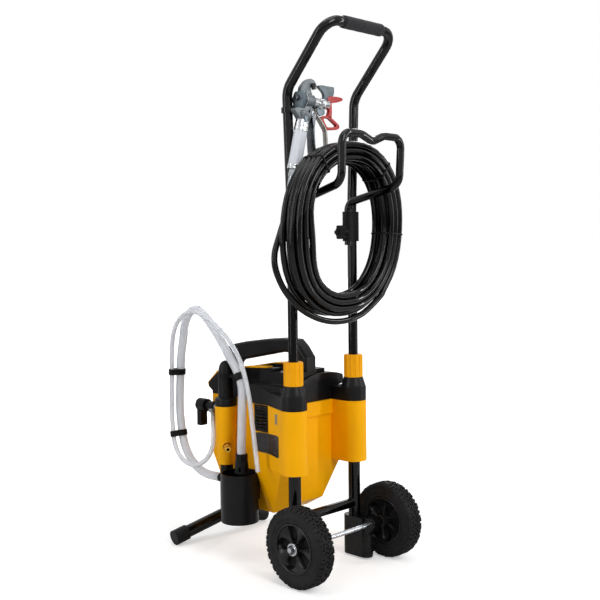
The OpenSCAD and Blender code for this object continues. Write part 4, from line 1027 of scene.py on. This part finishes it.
# ---- gun: casting, nuts, guard, tip and trigger bow ----
BODY_PLATE = [(79, 967), (72, 974), (61, 974), (57, 966), (55, 955), (56, 943), (58, 930), (61, 918), (66, 909),
              (88, 913), (94, 921), (104, 931), (104, 935.5), (92, 938), (80, 941)]
HANGER = [(79, 955), (86, 970), (84, 979), (71, 992), (59, 997.5), (48, 995), (41.5, 987), (40.5, 978),
          (46.5, 977), (47.5, 984), (50.5, 988.4), (56, 988), (58, 982), (57, 972), (52, 964), (60, 955)]
HEX_TURN = math.radians(45)
gun_skin = add("gun_casting", *joined([
    slab(BODY_PLATE, 13, 4.5),
    slab(HANGER, 9.5, 3.0),
    turned([(0, 11), (0.8, 12.2), (4, 12.9), (20, 14), (30, 14.6)], gun_point(50, 954), X_AXIS),
    grip_band([(-26, 10.0), (-24, 13.6), (-19, 14.2), (-13, 11.6), (-7.6, 10.4), (-7.4, 8.0)]),
]), cast_grey, "handle", "gun_metal", 40)
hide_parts("gun_body")
add("gun_packing_nut", *stitched(hexagon(gun_point(80.2, 954), 18.2, 9.4, 0.13, turn=HEX_TURN, face=1.08)),
    nut_grey, "handle", "gun_metal", 25)
add("gun_nut_washer", *turned([(0, 15.5), (0, 17.6), (0.5, 18.0), (1.6, 18.0), (2, 17.6), (2, 15.5)],
                              gun_point(78.3, 954), X_AXIS, 60), chrome, "handle", "gun_metal", 40)
add("gun_stem_cap", *turned([(0, 5.4), (4.2, 5.4), (5.0, 5.0), (6.4, 4.8), (7.0, 4.0), (7.0, 2.4), (5.0, 2.0),
                             (5.6, 1.2), (5.8, 0.05)], gun_point(89, 957), X_AXIS, 40),
    dark_chrome, "handle", "gun_metal", 40)
nozzle = add("nozzle_nut_skin", *joined([
    stitched(hexagon(gun_point(30, 949), 14.0, 9.4, 0.2, turn=HEX_TURN)),
    turned([(0, 8), (0, 11.4), (0.7, 12.2), (2.4, 12.2), (3, 11.6), (3, 8)], gun_point(27, 950), X_AXIS),
    turned([(0, 9), (0, 10.6), (0.7, 11.4), (11, 11.8), (11.6, 11.2), (11.6, 9)], gun_point(39.4, 952), X_AXIS),
]), chrome, "handle", "gun_metal", 30)
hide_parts("nozzle_nut")
add("nozzle_lug", *slab([(43, 942), (44, 933), (39, 927), (28, 926.5), (21, 931), (22, 940), (30, 945)], 15, 3.2),
    nut_grey, "handle", "gun_metal", 30)
guard = add("guard_bars", *joined([
    slab([(10, 963.5), (4, 968), (-15, 969.2), (-32, 968.6), (-37, 965.6), (-33, 962), (-16, 956.8), (4, 956)],
         9, 2.4),
    slab([(9, 960), (-3, 960), (-4, 941), (-3, 923), (8, 926), (3, 941)], 8, 2.2),
    slab([(31, 923), (17, 928.5), (4, 928.5), (-9, 922), (-25, 912.5), (-26, 907), (-19, 902.5), (6, 900), (15, 901)],
         8, 2.0, hole=[(22, 921), (15, 923.6), (4, 923.6), (-7, 917), (-18, 910.6), (-14, 908), (5, 905.6),
                       (12, 906)]),
]), red_plastic, "guard", "red_plastic", 40)
add("guard_saddle", *turned([(0, 5.3), (0, 9.0), (0.8, 9.8), (9, 10.2), (12, 11.6), (19, 11.8), (20.5, 11),
                             (20.5, 5.3)], gun_point(6.2, 951), X_AXIS, loop=True),
    chrome, "guard", "red_plastic", 40)
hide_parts("tip_guard")
flag = add("tip_flag", *joined([
    slab([(35, 986.5), (25, 988), (8, 987.5), (-11.4, 988), (-11.2, 979), (-9, 969), (4, 968), (7.4, 960.5),
          (19, 959.5), (17.5, 969), (22, 975.5), (30, 980.5)], 7.4, 1.6),
    turned([(0, 4.4), (0.5, 4.95), (24, 4.95)], gun_point(14, 943), Z_AXIS, 32),
]), flag_grey, "tip", "gun_metal", 35)
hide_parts("spray_tip")
BOW = ((43, 940), (42, 929), (29, 917), (14, 899), (12, 870), (20, 836), (50, 816), (86.5, 815))
bow = rounded([Vector((x, GUN_Y, z)) for x, z in BOW], [5, 10, 14, 30, 24, 16], 5)


def bow_mesh():
    """Flat strap with rounded edges along the bow's line."""
    section = ((-2.4, -4.4), (-1.4, -5.3), (1.4, -5.3), (2.4, -4.4), (2.4, 4.4), (1.4, 5.3), (-1.4, 5.3), (-2.4, 4.4))
    rings = []
    for i, p in enumerate(bow):
        t = (bow[min(i + 1, len(bow) - 1)] - bow[max(i - 1, 0)]).normalized()
        n = Vector((0, 1, 0)).cross(t)
        rings.append([P(*(p + n * a + Vector((0, b, 0)))) for a, b in section])
    return stitched(rings)


guard_bow = add("trigger_bow", *bow_mesh(), satin, "handle", "gun_metal", 50)
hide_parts("trigger_guard")
add("gun_neck_ring", *grip_band([(-8.2, 9.8), (-7.8, 11.0), (-4.4, 11.2), (-3.8, 10.5), (-2.8, 10.5), (-2.2, 11.4),
                                 (4.6, 11.6), (5.2, 11.1), (6.0, 11.1), (6.6, 11.7), (12.8, 11.8), (13.6, 11.05)]),
    chrome, "handle", "steel")
add("gun_foot_ring", *grip_band([(83.5, 11.05), (84, 11.7), (87, 11.7), (87.8, 11.3), (88.4, 11.7), (91.4, 11.7),
                                 (92.2, 10.6)]), chrome, "handle", "steel")


# ---- tube clips: moulded bands round both tubes, and the arm from the pump cap ----
def hull_band(circles, centre, up, height, lift):
    """Band round several circles (offset from centre in millimetres, radius), square to up."""
    up = up.normalized()
    u = up.orthogonal().normalized()
    v = up.cross(u)
    rim = []
    for a in circle(72):
        d = u * math.cos(a) + v * math.sin(a)
        c, r = max(circles, key=lambda m: m[0].dot(d) + m[1])
        flat = c - up * c.dot(up)
        rim.append((flat, d, r))
    rings = []
    for h, more in ((-0.5, -0.8), (-0.44, 0), (0.44, 0), (0.5, -0.8)):
        rings.append([P(*(centre + flat + d * (r + lift + more) + up * height * h)) for flat, d, r in rim])
    return stitched(rings)


def at_level(line, z, lo, hi):
    """Point and heading of a route between its points lo and hi where it passes height z."""
    for a, b in zip(line[lo:hi], line[lo + 1:hi + 1]):
        if min(a.z, b.z) <= z <= max(a.z, b.z) and a.z != b.z:
            return a + (b - a) * ((z - a.z) / (b.z - a.z)), (b - a).normalized()
    raise ValueError("the route doesn't pass this height")


CLIP_LEVELS = (384, 243)


def clip_mesh():
    centre = Vector((0, 0, 0))
    parts = []
    for z in CLIP_LEVELS:
        a, up = at_level(suction_route, z, 78, len(suction_route) - 1)
        b = at_level(return_route, z, 38, 80)[0]
        parts.append(hull_band([(centre, SUCTION_R), (b - a, RETURN_R)], a, up, 13.5, 2.3))
    a, up = at_level(suction_route, 388, 6, 42)
    parts.append(hull_band([(centre, SUCTION_R)], a, up, 16, 2.7))
    arm = Vector((PUMP_X, PUMP_Y, 388))
    parts.append(hull_band([(centre, 16.0)], arm, Vector(Z_AXIS), 12, 0.6))
    parts.append(turned([(10, 4.6), (28, 4.6), ((a - arm).length - 4, 5.2)], P(*arm), (a - arm).normalized(), 24))
    return joined(parts)


clips = add("tube_clip_bands", *clip_mesh(), dark_plastic, "cart", "dark_plastic", 40)
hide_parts("tube_clips")


# ---- the CAD nodes that show ----
for material, names in FINISH:
    for node in names.split():
        dress(node, material, ROUNDING.get(node, EDGE))


# ---- floor, background and lights ----
def stage_floor():
    """Pale floor that keeps the shadow and fades to white away from the part."""
    mesh = bpy.data.meshes.new("floor")
    s = 14
    mesh.from_pydata([(-s, -s, 0), (s, -s, 0), (s, s, 0), (-s, s, 0)], [], [(0, 1, 2, 3)])
    material = bpy.data.materials.new("floor_white")
    material.use_nodes = True
    tree = material.node_tree
    shader = tree.nodes["Principled BSDF"]
    shader.inputs["Roughness"].default_value = 0.9
    shader.inputs["Specular IOR Level"].default_value = 0.1
    shader.inputs["Base Color"].default_value = (0.80, 0.80, 0.80, 1)
    shader.inputs["Emission Color"].default_value = (1, 1, 1, 1)
    path = tree.nodes.new("ShaderNodeLightPath")
    place = tree.nodes.new("ShaderNodeTexCoord")
    reach = tree.nodes.new("ShaderNodeVectorMath")
    reach.operation = "LENGTH"
    tree.links.new(place.outputs["Object"], reach.inputs[0])
    fade = range_node(tree, reach.outputs["Value"], 0.45, 2.2, 0.42, 1.0, "SMOOTHSTEP")
    glow = math_node(tree, "MULTIPLY", path.outputs["Is Camera Ray"], fade)
    tree.links.new(glow, shader.inputs["Emission Strength"])
    mesh.materials.append(material)
    floor = put("floor", mesh)
    floor.location = (0, 0, -0.0002)


def light_world():
    """White background for the camera, reflections and clear pieces; dimmer as a light."""
    world = bpy.data.worlds.new("studio")
    scene.world = world
    world.use_nodes = True
    tree = world.node_tree
    background = tree.nodes["Background"]
    path = tree.nodes.new("ShaderNodeLightPath").outputs
    seen = math_node(tree, "MAXIMUM", path["Is Camera Ray"], path["Is Glossy Ray"])
    seen = math_node(tree, "MAXIMUM", seen, path["Is Transmission Ray"])
    tree.links.new(range_node(tree, seen, 0, 1, 0.34, 1.0), background.inputs["Strength"])
    background.inputs["Color"].default_value = (1, 1, 1, 1)


def lamp(name, place, target, size, power, size_y=None):
    data = bpy.data.lights.new(name, "AREA")
    data.shape = "RECTANGLE"
    data.size = size
    data.size_y = size_y or size
    data.energy = power
    o = put(name, data)
    o.location = place
    o.rotation_euler = (Vector(place) - Vector(target)).to_track_quat("Z", "Y").to_euler()


stage_floor()
light_world()
lamp("key", (0.45, 2.3, 2.0), (0, 0, 0.5), 0.9, 29, size_y=1.5)
lamp("left_box", (2.25, -0.45, 1.2), (0, 0, 0.55), 0.12, 17, size_y=2.1)
lamp("right_box", (-1.35, 1.75, 1.1), (0, 0, 0.6), 0.12, 15, size_y=2.1)
lamp("back_box", (-1.6, -0.9, 1.3), (0, 0, 0.6), 0.3, 8, size_y=1.9)
lamp("top", (0.3, 0.2, 2.8), (0, 0, 0.5), 1.5, 15)

scene.view_settings.view_transform = "Standard"
